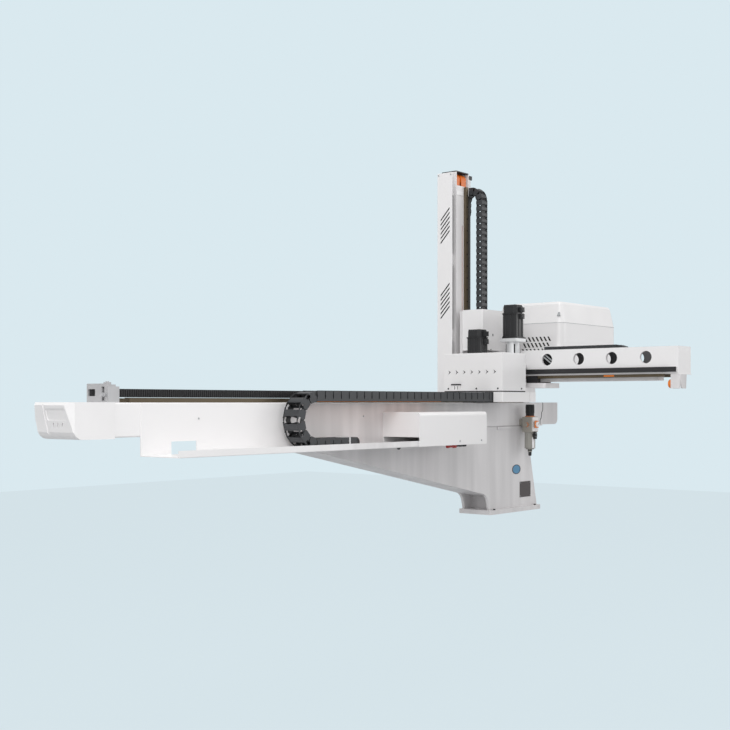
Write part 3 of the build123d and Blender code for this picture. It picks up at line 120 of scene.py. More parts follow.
class Finish:
    def __init__(self, name):
        self.material = bpy.data.materials.new(name)
        self.material.use_nodes = True
        self.tree = self.material.node_tree
        self.shader = self.tree.nodes["Principled BSDF"]

    def node(self, kind, settings=None, inputs=None, output=0):
        made = self.tree.nodes.new(kind)
        for key, value in (settings or {}).items():
            if key == "stops":
                self.setStops(made.color_ramp, value)
            else:
                setattr(made, key, value)
        for key, value in (inputs or {}).items():
            self.feed(made.inputs[key], value)
        return Flow(self, made.outputs[output])

    def setStops(self, ramp, stops):
        while len(ramp.elements) < len(stops):
            ramp.elements.new(0.5)
        for element, (position, colour) in zip(ramp.elements, stops):
            element.position = position
            element.color = (*colour, 1.0)

    def feed(self, socket, value):
        if isinstance(value, Flow):
            self.tree.links.new(value.socket, socket)
        else:
            socket.default_value = value

    def set(self, **values):
        for key, value in values.items():
            self.feed(self.shader.inputs[key.replace("_", " ")], value)

    def place(self):
        return self.node("ShaderNodeTexCoord", output="Object")

    def noise(self, scale, detail, where=None):
        return self.node("ShaderNodeTexNoise", {}, {
            "Vector": where or self.place(), "Scale": scale, "Detail": detail,
        })

    def stretched(self, factors):
        return self.node("ShaderNodeVectorMath", {"operation": "MULTIPLY"}, {0: self.place(), 1: factors})

    def mixed(self, factor, dark, pale):
        return self.node("ShaderNodeMix", {"data_type": "RGBA"}, {0: factor, 6: dark, 7: pale}, 2)

    def shaded(self, factor, colour, darkest, palest):
        return self.mixed(factor, rgba(colour, darkest), rgba(colour, palest))

    def bump(self, height, strength, distance):
        return self.node("ShaderNodeBump", {}, {
            "Height": height, "Strength": strength, "Distance": distance,
        })


def rgba(colour, factor=1.0):
    return (*[min(1.0, c * factor) for c in colour], 1.0)


# Paint: a sprayed or powder coat with fine orange peel and a trace of handling marks. Upright
# streaks are painted reflections and shade, and one end may fade to plain white as painted light.
machineWhite = (0.875, 0.865, 0.868)
paintSet = {
    "cloudScale": 3.0, "variation": 0.02, "smearScale": 9.0, "smear": 0.12,
    "peelScale": 700.0, "peel": 0.18, "peelDepth": 0.0004, "coatRoughness": 0.12,
    "streakStretch": (9.0, 9.0, 0.8), "streakScale": 1.6, "streakContrast": 3.2, "streakOffset": 1.1,
}


def paint(name, s):
    f = Finish(name)
    cloud = f.noise(s["cloudScale"], detail=4)
    # painted reflections: upright streaks lighten and darken the colour
    if s.get("streak"):
        reflectionStreaks = f.noise(s["streakScale"], detail=2, where=f.stretched(s["streakStretch"]))
        reflectionBands = reflectionStreaks * s["streakContrast"] - s["streakOffset"]
        cloud = cloud * (1 - s["streak"]) + reflectionBands * s["streak"]
    peel = f.noise(s["peelScale"], detail=2)
    smear = f.noise(s["smearScale"], detail=5)
    colour = f.shaded(cloud, s["colour"], 1 - s["variation"], 1 + s["variation"])
    # painted light: the colour fades to plain white towards one end along x
    if s.get("paintedLightEnd"):
        start, end = s["paintedLightEnd"]
        along = f.node("ShaderNodeSeparateXYZ", {}, {0: f.place()})
        colour = f.mixed((along - start) / (end - start), rgba(machineWhite), colour)
    f.set(
        Base_Color=colour,
        Roughness=s["roughness"] - s["smear"] / 2 + smear * s["smear"],
        Coat_Weight=s["coat"],
        Coat_Roughness=s["coatRoughness"],
        Normal=f.bump(peel, s["peel"], s["peelDepth"]),
    )
    return f.material


whitePaint = paint("whitePowderCoat", {
    **paintSet, "colour": machineWhite, "roughness": 0.33, "coat": 0.25,
})
# the pedestal's upright streaks are painted reflections
pedestalPaint = paint("pedestalPaint", {
    **paintSet, "colour": (0.69, 0.675, 0.68), "roughness": 0.42, "coat": 0.1, "variation": 0.09,
    "streak": 0.75,
})
# beam and skirt: the grey is painted shade under the carriage, the white left end is painted light
beamPaint = paint("beamPaint", {
    **paintSet, "colour": (0.77, 0.755, 0.76), "roughness": 0.38, "coat": 0.15, "variation": 0.07,
    "streak": 0.75, "paintedLightEnd": (-2.2, -1.5),
})
skirtPaint = paint("skirtPaint", {
    **paintSet, "colour": (0.79, 0.775, 0.78), "roughness": 0.36, "coat": 0.2, "variation": 0.11,
    "streak": 0.8, "paintedLightEnd": (-1.75, -1.35),
})
motorPaint = paint("motorPaint", {
    **paintSet, "colour": (0.013, 0.0135, 0.015), "roughness": 0.36, "coat": 0.1, "variation": 0.1,
})


# Moulded plastic, rubber and enamel: a fine spark-eroded grain
plasticSet = {
    "cloudScale": 6.0, "variation": 0.06, "unevenGloss": 0.08, "specular": 0.5,
    "grainScale": 900.0, "grain": 0.1, "grainDepth": 0.0003,
}


def plastic(name, s):
    s = {**plasticSet, **s}
    f = Finish(name)
    grain = f.noise(s["grainScale"], detail=2)
    cloud = f.noise(s["cloudScale"], detail=3)
    f.set(
        Base_Color=f.shaded(cloud, s["colour"], 1 - s["variation"], 1 + s["variation"]),
        Roughness=s["roughness"] - s["unevenGloss"] / 2 + cloud * s["unevenGloss"],
        Specular_IOR_Level=s["specular"],
        Normal=f.bump(grain, s["grain"], s["grainDepth"]),
    )
    return f.material


nylonGrain = {"grainScale": 1200.0, "grain": 0.2}
whitePlastic = plastic("whiteMoulding", {"colour": machineWhite, "roughness": 0.36, "grain": 0.12})
greyPlastic = plastic("greyMoulding", {"colour": (0.42, 0.44, 0.45), "roughness": 0.5, "grain": 0.25})
chainPlastic = plastic("chainNylon", {
    **nylonGrain, "colour": (0.045, 0.048, 0.052), "roughness": 0.42,
})
# tongues, divider and strip are darker than the plates: painted shade in the gaps between links
chainInsideShade = plastic("chainTonguesShade", {
    **nylonGrain, "colour": (0.018, 0.019, 0.021), "roughness": 0.5,
})
capPlastic = plastic("capNylon", {
    **nylonGrain, "colour": (0.018, 0.0185, 0.02), "roughness": 0.42,
})
# near-black: painted shade in slots, vents and behind openings, and the colour of dark seams and plugs
shadeAndSeamBlack = plastic("shadeAndSeamBlack", {
    "colour": (0.008, 0.008, 0.009), "roughness": 0.7, "grainScale": 1200.0, "specular": 0.25,
})
innerGrey = plastic("innerWallGrey", {
    "colour": (0.10, 0.10, 0.104), "roughness": 0.6, "specular": 0.3,
})
shadowGrey = plastic("shadowGrey", {"colour": (0.05, 0.05, 0.053), "roughness": 0.6, "specular": 0.3})
beltRubber = plastic("beltRubber", {
    "colour": (0.018, 0.018, 0.0195), "roughness": 0.42, "grainScale": 1500.0, "grain": 0.2,
    "specular": 0.55,
})
rubber = plastic("blackRubber", {
    "colour": (0.022, 0.022, 0.024), "roughness": 0.62, "grainScale": 1500.0, "grain": 0.3,
    "specular": 0.35,
})
regulatorMetal = plastic("regulatorCasting", {
    "colour": (0.36, 0.34, 0.30), "roughness": 0.32, "grainScale": 700.0, "grain": 0.25,
})
redPlastic = plastic("redFitting", {"colour": (0.42, 0.03, 0.025), "roughness": 0.35})
badgeBlue = plastic("badgeEnamel", {"colour": (0.10, 0.28, 0.46), "roughness": 0.3, "grain": 0.05})
plateGrey = plastic("plateEnamel", {"colour": (0.075, 0.065, 0.065), "roughness": 0.45})
stripBrown = plastic("backStrip", {"colour": (0.13, 0.105, 0.07), "roughness": 0.5})
orangePlastic = plastic("orangePart", {"colour": (0.75, 0.17, 0.02), "roughness": 0.35})
orangeRubber = plastic("orangeUrethane", {"colour": (0.80, 0.22, 0.03), "roughness": 0.3})
bowlPlastic = plastic("bowlGuard", {"colour": (0.34, 0.33, 0.30), "roughness": 0.3})


# Metal: long grinding marks along one axis, with a little tarnish
alongX = (0.05, 1.0, 1.0)
alongZ = (1.0, 1.0, 0.05)
metalSet = {
    "stretch": alongX, "markScale": 500.0, "depth": 0.15, "markDepth": 0.0002, "unevenGloss": 0.16,
    "tarnishScale": 14.0, "tarnished": 0.85, "polished": 1.1,
}


def metal(name, s):
    s = {**metalSet, **s}
    f = Finish(name)
    marks = f.noise(s["markScale"], detail=3, where=f.stretched(s["stretch"]))
    tarnish = f.noise(s["tarnishScale"], detail=4)
    f.set(
        Base_Color=f.shaded(tarnish, s["colour"], s["tarnished"], s["polished"]),
        Metallic=s["metallic"],
        Roughness=s["roughness"] - s["unevenGloss"] / 2 + marks * s["unevenGloss"],
        Normal=f.bump(marks, s["depth"], s["markDepth"]),
    )
    return f.material


railSet = {
    "colour": (0.15, 0.12, 0.08), "metallic": 0.7, "roughness": 0.38, "markScale": 700.0, "depth": 0.2,
}
railSteel = metal("railSteel", railSet)
railSteelUpright = metal("railSteelUpright", {**railSet, "stretch": alongZ})
aluminium = metal("anodisedAluminium", {
    "colour": (0.74, 0.75, 0.76), "metallic": 0.35, "roughness": 0.42, "stretch": alongZ, "depth": 0.1,
})
castAluminium = metal("machinedCasting", {
    "colour": (0.72, 0.73, 0.74), "metallic": 0.5, "roughness": 0.4,
})
clampAluminium = metal("clampAluminium", {
    "colour": (0.60, 0.60, 0.61), "metallic": 0.55, "roughness": 0.36,
})
turnedSteel = metal("turnedSteel", {
    "colour": (0.55, 0.56, 0.57), "metallic": 0.9, "roughness": 0.3, "markScale": 600.0,
})
blackSteel = metal("blackenedSteel", {
    "colour": (0.035, 0.035, 0.038), "metallic": 0.4, "roughness": 0.42, "depth": 0.1,
})
report("materials")

finishOfSlot = {
    "pedestal_paint": pedestalPaint, "beam_paint": beamPaint, "white_sheet": whitePaint,
    "white_moulding": whitePlastic, "grey_moulding": greyPlastic, "chain_plastic": chainPlastic,
    "belt_rubber": rubber, "rail_steel": railSteel, "guide_steel": blackSteel,
    "carriage_casting": castAluminium, "drive_dark": motorPaint, "gearbox_silver": aluminium,
    "turned_steel": turnedSteel, "orange_part": orangePlastic, "orange_rubber": orangeRubber,
    "black_rubber": rubber, "cap_black": capPlastic, "regulator_grey": regulatorMetal,
    "bowl_grey": bowlPlastic, "urethane_belt": orangePlastic,
}
slotOfNode = {row["node"]: row["material_slot"] for row in frame["record"]["subparts"]}
uprightNodes = {"arm_rail", "inner_arm_rail"}
paintedCastings = {"arm_profile", "inner_arm", "carriage_base", "arm_plate"}


def dressNode(name, material):
    data = nodes[name].data
    data.materials.clear()
    data.materials.append(material)


for name, slotName in slotOfNode.items():
    dressNode(name, finishOfSlot[slotName])
for name in uprightNodes:
    dressNode(name, railSteelUpright)
for name in paintedCastings:
    dressNode(name, beamPaint)
dressNode("beam_end_cover_right", pedestalPaint)
dressNode("end_stop_bracket", pedestalPaint)
dressNode("front_skirt_panel", skirtPaint)
dressNode("belt_clamps", clampAluminium)


# Piece kit: plates, turned parts and rods gathered into one mesh, in millimetres
pieceSet = {"unit": 0.001, "sharpAngle": 35, "bevelSegments": 2, "bevelAngle": 40}


def ngon(radius, sides):
    angles = [2 * pi * i / sides for i in range(sides)]
    return [(radius * cos(angle), radius * sin(angle)) for angle in angles]


def rectangle(x, y):
    return [(x[0], y[0]), (x[1], y[0]), (x[1], y[1]), (x[0], y[1])]


def corneredSquare(half, cut):
    a, b = half, half - cut
    return [(a, -b), (a, b), (b, a), (-b, a), (-a, b), (-a, -b), (-b, -a), (b, -a)]


class Piece:
    def __init__(self, name):
        self.name = name
        self.mesh = bmesh.new()
        self.place = Matrix.Identity(4)

    def put(self, origin=(0, 0, 0), ahead=(1, 0, 0), up=(0, 1, 0)):
        x, y = Vector(ahead).normalized(), Vector(up).normalized()
        turn = Matrix((x, y, x.cross(y))).transposed().to_4x4()
        self.place = Matrix.Translation(origin) @ turn

    def vertex(self, a, b, level):
        return self.mesh.verts.new(self.place @ Vector((a, b, level)))

    def prism(self, outline, low, high, taper=1.0):
        rings = []
        for level, scale in ((low, 1.0), (high, taper)):
            rings.append([self.vertex(a * scale, b * scale, level) for a, b in outline])
        self.mesh.faces.new(rings[0])
        self.mesh.faces.new(rings[1])
        for i in range(len(outline)):
            self.mesh.faces.new((rings[0][i - 1], rings[0][i], rings[1][i], rings[1][i - 1]))

    def box(self, x, y, z):
        self.prism(rectangle(x, y), z[0], z[1])

    def loft(self, rings):
        for lower, upper in zip(rings, rings[1:]):
            for i in range(len(lower)):
                self.mesh.faces.new((lower[i - 1], lower[i], upper[i], upper[i - 1]))
        self.mesh.faces.new(rings[0])
        self.mesh.faces.new(rings[-1])

    def turned(self, profile, sides=24):
        self.loft([[self.vertex(a, b, height) for a, b in ngon(radius, sides)] for radius, height in profile])

    def rod(self, start, end, radius, sides):
        run = Vector(end) - Vector(start)
        side = run.orthogonal()
        self.put(start, side, run.cross(side))
        self.turned([(radius, 0), (radius, run.length)], sides)

    def finish(self, material, body, slotName, replaced=(), bevel=0.0):
        s = pieceSet
        bmesh.ops.recalc_face_normals(self.mesh, faces=self.mesh.faces)
        bmesh.ops.scale(self.mesh, vec=(s["unit"], s["unit"], s["unit"]), verts=self.mesh.verts)
        data = bpy.data.meshes.new(self.name)
        self.mesh.to_mesh(data)
        self.mesh.free()
        data.materials.append(material)
        data.shade_smooth()
        data.set_sharp_from_angle(angle=radians(s["sharpAngle"]))
        piece = bpy.data.objects.new(self.name, data)
        scene.collection.objects.link(piece)
        if bevel:
            edge = piece.modifiers.new("softEdges", "BEVEL")
            edge.width = bevel * s["unit"]
            edge.segments = s["bevelSegments"]
            edge.limit_method = "ANGLE"
            edge.angle_limit = radians(s["bevelAngle"])
            edge.harden_normals = True
        if isinstance(body, str):
            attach(piece, body)
        else:
            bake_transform(piece)
        if replaced:
            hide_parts(*replaced)


# Energy chains: link by link, a proud side plate, a tongue that turns inside the next link,
# clipped crossbars on both sides and a divider between the hoses
linkSet = {
    "shoulder": (0.2, 0.3), "step": 0.55,  # where a side plate narrows or steps, as shares
    "pin": 0.16, "pinSides": 8, "pinLevels": (-0.2, 0.5),
    "clear": 0.2, "rim": 0.8, "barDepth": 5.0, "barShoulder": 2.0, "underDepth": 4.5,
    "tongueSides": 14, "tongueGap": 0.1, "tongueBack": 0.7,
    "dividerEnds": (4.0, 4.5), "divider": 1.2, "strip": (7.5, 6.0),
}


def mirrored(outline):
    return outline + [(-a, b) for a, b in reversed(outline)]


def arc(middle, radius, start, sweep, steps):
    angles = [start + sweep * i / steps for i in range(steps + 1)]
    return [(middle + radius * cos(angle), radius * sin(angle)) for angle in angles]


def linkPlate(piece, s, windowed):
    half, tall = s["pitch"] / 2, s["height"] / 2
    end = half - s["gap"] / 2
    inwards, down = s["shoulder"]
    foot = [(end - s["relief"] * inwards, -tall * down), (end - s["relief"], -tall)]
    if windowed:
        lip, top, low = s["window"], tall * s["windowTop"], tall * s["windowLow"]
        outline = mirrored([(end, tall), (end, top), (end - lip, top), (end - lip, low), (end, low)] + foot)
    else:
        step = -tall * s["step"]
        outline = mirrored([(end, tall), (end, step), (half, step), (half, -tall)])
    outer, inner = s["width"] / 2, s["width"] / 2 - s["plate"] / 2
    sunk, proud = s["pinLevels"]
    for side in (-1, 1):
        plain = windowed and side > 0 and s.get("farPlain")
        piece.prism(mirrored([(end, tall)] + foot) if plain else outline, side * inner, side * outer)
        for a in (-half, half):
            pin = [(a + x, y) for x, y in ngon(tall * s["pin"], s["pinSides"])]
            piece.prism(pin, side * (outer + sunk), side * (outer + proud))
    across = s["width"] / 2 - s["plate"] - s["clear"]
    bar, under = s["pitch"] * s["outerBar"], s["pitch"] * s["innerBar"]
    crown, shoulder, rim = tall - s["barDepth"], tall - s["barShoulder"], tall - s["rim"]
    slope = s["barShoulder"]
    piece.prism([(-bar, crown), (bar, crown), (bar, shoulder), (bar - slope, rim), (slope - bar, rim),
                 (-bar, shoulder)], -across, across)
    piece.prism(rectangle((-under, under), (-tall + s["rim"], -tall + s["underDepth"])), -across, across)


def linkInside(piece, s, windowed):
    half, tall = s["pitch"] / 2, s["height"] / 2
    outer = s["width"] / 2 - s["plate"] / 2 - s["tongueGap"]
    inner = s["width"] / 2 - s["plate"]
    reach = tall - s["rim"]
    disc = [(half + x, y) for x, y in ngon(reach, s["tongueSides"])]
    if windowed:
        edge = asin(tall * s["windowTop"] / reach)
        web = half - s["window"] - s["gap"]
        bridge = rectangle((-web, web), (-reach, reach))
        shapes = [arc(half, reach, pi, pi, 8), arc(half, reach, edge, pi - 2 * edge, 5), bridge]
    else:
        shapes = [disc, rectangle((-half * s["tongueBack"], half), (-reach, reach))]
    for side in (-1, 1):
        plain = windowed and side > 0 and s.get("farPlain")
        for shape in [disc, bridge] if plain else shapes:
            piece.prism(shape, side * inner, side * outer)
    across = inner - s["clear"]
    bar = s["pitch"] * s["outerBar"]
    low, high = s["dividerEnds"]
    piece.prism(rectangle((-bar, bar), (-tall + low, tall - high)), -s["divider"], s["divider"])
    if s.get("farPlain"):
        low, high = s["strip"]
        piece.prism(rectangle((-half, half), (tall - low, tall - high)), -across, across)


def straightLinks(first, ahead, outward, count, s):
    step = Vector(ahead) * s["pitch"]
    return [(Vector(first) + step * (i + 0.5), ahead, outward) for i in range(count)]


# A bend turns from its first outward direction to its first ahead direction, and on
def bentLinks(middle, outward, ahead, count, s):
    turn = 2 * asin(s["pitch"] / 2 / s["radius"])
    reach = s["radius"] * cos(turn / 2)
    links = []
    for i in range(count):
        angle = turn * (i + 0.5)
        out = Vector(outward) * cos(angle) + Vector(ahead) * sin(angle)
        along = Vector(ahead) * cos(angle) - Vector(outward) * sin(angle)
        links.append((Vector(middle) + out * reach, along, out))
    return links


def chain(nodeName, links, s, body, windowed):
    # the inside parts take the darker painted shade
    for suffix, make, material in (("Plates", linkPlate, chainPlastic), ("Inside", linkInside, chainInsideShade)):
        piece = Piece(s["name"] + nodeName + suffix)
        for centre, ahead, outward in links:
            piece.put(centre, ahead, outward)
            make(piece, s, windowed)
        piece.finish(material, body, "chain_plastic", (s["nodes"][nodeName],))


right, back, upward = Vector((1, 0, 0)), Vector((0, 1, 0)), Vector((0, 0, 1))
carriageRun = ("base", "carriage", (-2.923, 0, 0), (-0.277, 0, 0))  # what a stretch of chain spans
trayRun = ("base", "carriage", (-1.355, 0, 0), (-1.845, 0, 0))
troughRun = ("carriage", "crosswise_slide", (0, -0.249, 0), (0, -1.044, 0))
armRun = ("crosswise_slide", "outer_arm", (0, 0, 0.9725), (0, 0, 1.5845))
bigChainSet = {
    **linkSet, "name": "traverseChain", "pitch": 49.0, "height": 43.0, "width": 78.0, "plate": 4.0,
    "gap": 4.6, "radius": 94.66, "outerBar": 0.27, "innerBar": 0.14, "window": 8.0,
    "windowTop": 0.68, "windowLow": 0.12, "relief": 6.5,
    "nodes": {
        "Upper": "traverse_chain_upper", "Bend": "traverse_chain_bend", "Lower": "traverse_chain_lower",
    },
    "links": {"Upper": 27, "Bend": 6, "Lower": 5},
    "side": -140.0, "bendAt": -1600.0, "middle": 481.46, "rightEnd": -277.0,
}
s = bigChainSet
topOfBend = Vector((s["bendAt"], s["side"], s["middle"] + s["radius"]))
footOfBend = Vector((s["bendAt"], s["side"], s["middle"] - s["radius"]))
upperEnd = Vector((s["rightEnd"], s["side"], topOfBend.z))
chain("Upper", straightLinks(upperEnd, -right, upward, s["links"]["Upper"], s), s, carriageRun, False)
chain("Bend", bentLinks((topOfBend + footOfBend) / 2, upward, -right, s["links"]["Bend"], s), s,
      "traverse_chain_loop", True)
chain("Lower", straightLinks(footOfBend, right, -upward, s["links"]["Lower"], s), s, trayRun, False)

smallChainSet = {
    **linkSet, "pitch": 30.6, "height": 36.0, "width": 50.0, "plate": 3.0, "gap": 2.2,
    "radius": 49.51, "outerBar": 0.30, "innerBar": 0.16, "window": 2.0,
    "windowTop": 0.5, "windowLow": 0.14, "relief": 6.6, "farPlain": True,
}
s = {
    **smallChainSet, "name": "crosswiseChain",
    "nodes": {"Upper": "crosswise_chain_upper", "Bend": "crosswise_chain_bend"},
    "links": {"Upper": 13, "Bend": 5, "Lower": 3},
    "upperEnd": (35, -248.7, 807.32), "bendCentre": (35, -646.5, 757.81),
}
bendCentre = Vector(s["bendCentre"])
lowerStart = bendCentre - upward * s["radius"]
chain("Upper", straightLinks(s["upperEnd"], -back, upward, s["links"]["Upper"], s), s, troughRun, False)
chain("Bend", bentLinks(bendCentre, upward, -back, s["links"]["Bend"], s)
      + straightLinks(lowerStart, back, -upward, s["links"]["Lower"], s), s, "crosswise_chain_loop", True)

armChainSet = {
    **smallChainSet, "name": "armChain", "nodes": {"Run": "arm_chain_run", "Arch": "arm_chain_bend"},
    "links": {"Run": 20, "Arch": 5, "Tail": 2},
    "foot": (-33, 92, 972.5), "archCentre": (-33, 141.51, 1584.5),
}
s = armChainSet
archCentre = Vector(s["archCentre"])
chain("Run", straightLinks(s["foot"], upward, -back, s["links"]["Run"], s), s, armRun, True)
chain("Arch", bentLinks(archCentre, -back, upward, s["links"]["Arch"], s)
      + straightLinks(archCentre + back * s["radius"], -upward, back, s["links"]["Tail"], s), s,
      "outer_arm", True)
report("energy chains")


# Toothed belts: the open run lies along its clamps, and the loop rides with its drive
beltSet = {
    "thickness": 2, "loopInside": 1.8, "loopOutside": 2.0, "toothPitch": 10.0,
    "toothFoot": 2.6, "toothTip": 1.6, "toothDepth": 2.6, "idlerRadius": 12.0, "tail": 10,
}


def loopPath(s):
    (drive, height), radius, small, tail = s["drive"], s["driveRadius"], s["idlerRadius"], s["tail"]
    first, last = drive - radius - small, drive + radius + small
    quarter = [pi / 2 * i / 8 for i in range(9)]
    path = [(first - tail, 0)]
    path += [(first + small * sin(t), small - small * cos(t)) for t in quarter]
    path += [(drive - radius * cos(pi * i / 16), height + radius * sin(pi * i / 16)) for i in range(17)]
    path += [(last - small * cos(t), small - small * sin(t)) for t in quarter]
    path.append((last + tail, 0))
    return path


def belt(s):
    s = {**beltSet, **s}
    piece = Piece(s["name"] + "Run")
    wide = Vector(s["along"]).cross(Vector(s["toDrive"]))
    low, high = s["edges"]
    if wide.dot(Vector(s["widthWay"])) < 0:
        low, high = -high, -low
    piece.put(s["origin"], s["along"], s["toDrive"])
    start, end = s["run"]
    piece.prism(rectangle((start, end), (0, s["thickness"])), low, high)
    foot, tip, depth = s["toothFoot"], s["toothTip"], s["toothDepth"]
    for i in range(int((end - start) / s["toothPitch"])):
        a = start + (i + 0.5) * s["toothPitch"]
        piece.prism([(a - foot, 0), (a - tip, -depth), (a + tip, -depth), (a + foot, 0)], low, high)
    piece.finish(beltRubber, s["fixedBody"], "belt_rubber", (s["node"],))
    loop = Piece(s["name"] + "Loop")
    loop.put(s["origin"], s["along"], s["toDrive"])
    path = [Vector(p) for p in loopPath(s)]
    inner, outer = [], []
    for i, point in enumerate(path):
        run = path[min(i + 1, len(path) - 1)] - path[max(i - 1, 0)]
        normal = Vector((-run.y, run.x)).normalized()
        inner.append(point - normal * s["loopInside"])
        outer.append(point + normal * s["loopOutside"])
    for i in range(len(path) - 1):
        quad = [inner[i], inner[i + 1], outer[i + 1], outer[i]]
        loop.prism([(p.x, p.y) for p in quad], low, high)
    bmesh.ops.remove_doubles(loop.mesh, verts=loop.mesh.verts, dist=0.01)
    loop.finish(beltRubber, s["drivenBody"], "belt_rubber", (s["node"],))


belt({
    "name": "traverseBelt", "node": "traverse_belt", "fixedBody": "base", "drivenBody": "carriage",
    "origin": (0, -42, 0), "along": (1, 0, 0), "toDrive": (0, 1, 0), "widthWay": (0, 0, 1),
    "edges": (568, 597), "run": (-2476, 140), "drive": (-220, 35), "driveRadius": 24.0,
})
belt({
    "name": "crosswiseBelt", "node": "crosswise_belt",
    "fixedBody": "crosswise_slide", "drivenBody": "carriage",
    "origin": (-45, 0, 0), "along": (0, 1, 0), "toDrive": (-1, 0, 0), "widthWay": (0, 0, 1),
    "edges": (690, 713), "run": (-970, 105), "drive": (-132, 46), "driveRadius": 26.0,
})
belt({
    "name": "verticalBelt", "node": "vertical_belt",
    "fixedBody": "outer_arm", "drivenBody": "crosswise_slide",
    "origin": (0, 153, 0), "along": (0, 0, 1), "toDrive": (0, -1, 0), "widthWay": (1, 0, 0),
    "edges": (-79, -49), "run": (570, 1606), "drive": (905, 73), "driveRadius": 24.0,
})
report("belts")


# Hoses in the arm's chain, and a ribbon cable that shows under the long one
def hose(name, path, radius, material, body, slotName):
    piece = Piece(name)
    rings = []
    points = [Vector(p) for p in path]
    for i, point in enumerate(points):
        run = points[min(i + 1, len(points) - 1)] - points[max(i - 1, 0)]
        side = Vector((1, 0, 0)) if abs(run.normalized().x) < 0.9 else Vector((0, 1, 0))
        first = run.cross(side).normalized()
        second = run.cross(first).normalized()
        spots = [point + (first * x + second * y) * radius for x, y in ngon(1, 10)]
        rings.append([piece.mesh.verts.new(spot) for spot in spots])
    piece.loft(rings)
    piece.finish(material, body, slotName)


armHoseSet = {
    "places": [(-19, 5), (-20, -6)],  # x, and how far off the chain's middle line
    "radius": 6.5, "start": 975, "step": 30.5, "points": 21, "tailEnd": (191.03, 1530),
}
(_, runY, _), (_, archY, archTop) = armChainSet["foot"], armChainSet["archCentre"]
s = armHoseSet
for index, (x, off) in enumerate(s["places"]):
    run = [(x, runY + off, s["start"] + s["step"] * i) for i in range(s["points"])]
    hose(f"armHoseRun{index}", run, s["radius"], rubber, armRun, "black_rubber")
    reach = armChainSet["radius"] - off
    arch = [(x, archY - reach * cos(pi * i / 12), archTop + reach * sin(pi * i / 12)) for i in range(13)]
    arch.append((x, s["tailEnd"][0] - off, s["tailEnd"][1]))
    hose(f"armHoseArch{index}", arch, s["radius"], rubber, "outer_arm", "black_rubber")
s = {"start": -1590, "length": 42, "count": 20, "y": (-168, -112), "z": (553, 556)}
ribbon = Piece("traverseRibbon")
for i in range(s["count"]):
    ribbon.box((s["start"] + i * s["length"], s["start"] + (i + 1) * s["length"]), s["y"], s["z"])
ribbon.finish(orangeRubber, carriageRun, "orange_rubber")


# The cross beam's far wall behind its holes, with two cables
def sheetWithHoles(piece, outline, holes, low, high):
    mesh = bmesh.new()
    for loop in [outline] + holes:
        points = [mesh.verts.new((a, b, low)) for a, b in loop]
        for i in range(len(points)):
            mesh.edges.new((points[i - 1], points[i]))
    bmesh.ops.triangle_fill(mesh, use_beauty=True, edges=mesh.edges[:])
    grown = bmesh.ops.extrude_face_region(mesh, geom=mesh.faces[:])
    raised = [v for v in grown["geom"] if isinstance(v, bmesh.types.BMVert)]
    bmesh.ops.translate(mesh, vec=(0, 0, high - low), verts=raised)
    mesh.verts.index_update()
    made = [piece.vertex(*v.co) for v in mesh.verts]
    for face in mesh.faces:
        piece.mesh.faces.new([made[v.index] for v in face.verts])
    mesh.free()


innerWallSet = {
    "x": 91.9, "y": (-955, -110), "z": (694, 802), "thickness": 1,
    "holes": (-192, -366.7, -541.4, -716.1), "holeHeight": 760, "holeRadius": 29.5,
}
s = innerWallSet
innerWall = Piece("beamInnerWall")
innerWall.put((s["x"], 0, 0), (0, 1, 0), (0, 0, 1))
circle = ngon(s["holeRadius"], 28)
holes = [[(y + a, s["holeHeight"] + b) for a, b in circle] for y in s["holes"]]
sheetWithHoles(innerWall, rectangle(s["y"], s["z"]), holes, 0, s["thickness"])
innerWall.finish(innerGrey, "crosswise_slide", "drive_dark")
s = {"start": (-18, -262, 784), "step": (8, 6.0), "shifts": (-9, 7), "radius": 3.6}
for index, shift in enumerate(s["shifts"]):
    x, y, z = s["start"]
    path = [(x, y - i * s["step"][0], z + shift - i * s["step"][1]) for i in range(9)]
    hose(f"beamCable{index}", path, s["radius"], greyPlastic, "crosswise_slide", "grey_moulding")


# Servo motors: fluted body, flange with its screws, a dark cap and two plugs on the near side
motorSet = {
    "corner": 9, "flange": 9, "collar": 7, "seam": 1.5, "inset": 2.5, "shoulder": 0.78, "rounding": 1.0,
    "groove": (-0.62, -0.50, -0.44, -0.30, -0.24, 0.24, 0.30, 0.44, 0.50, 0.62),
    "grooveDepth": (0, 0, 3.2, 3.2, 0, 0, 3.2, 3.2, 0, 0),
    "capInset": 4, "capCorner": 12, "capCrown": 8, "capTaper": 0.93,
    "plugX": 8, "plugHalf": (17, 12), "plugReach": (9, 5), "plugFace": [(11, -1), (11, 3)],
    "flangeScrew": [(4.4, -1), (4.4, 4), (3.8, 4.6)], "capScrew": [(2.6, -1.5), (2.6, 0.8)],
}


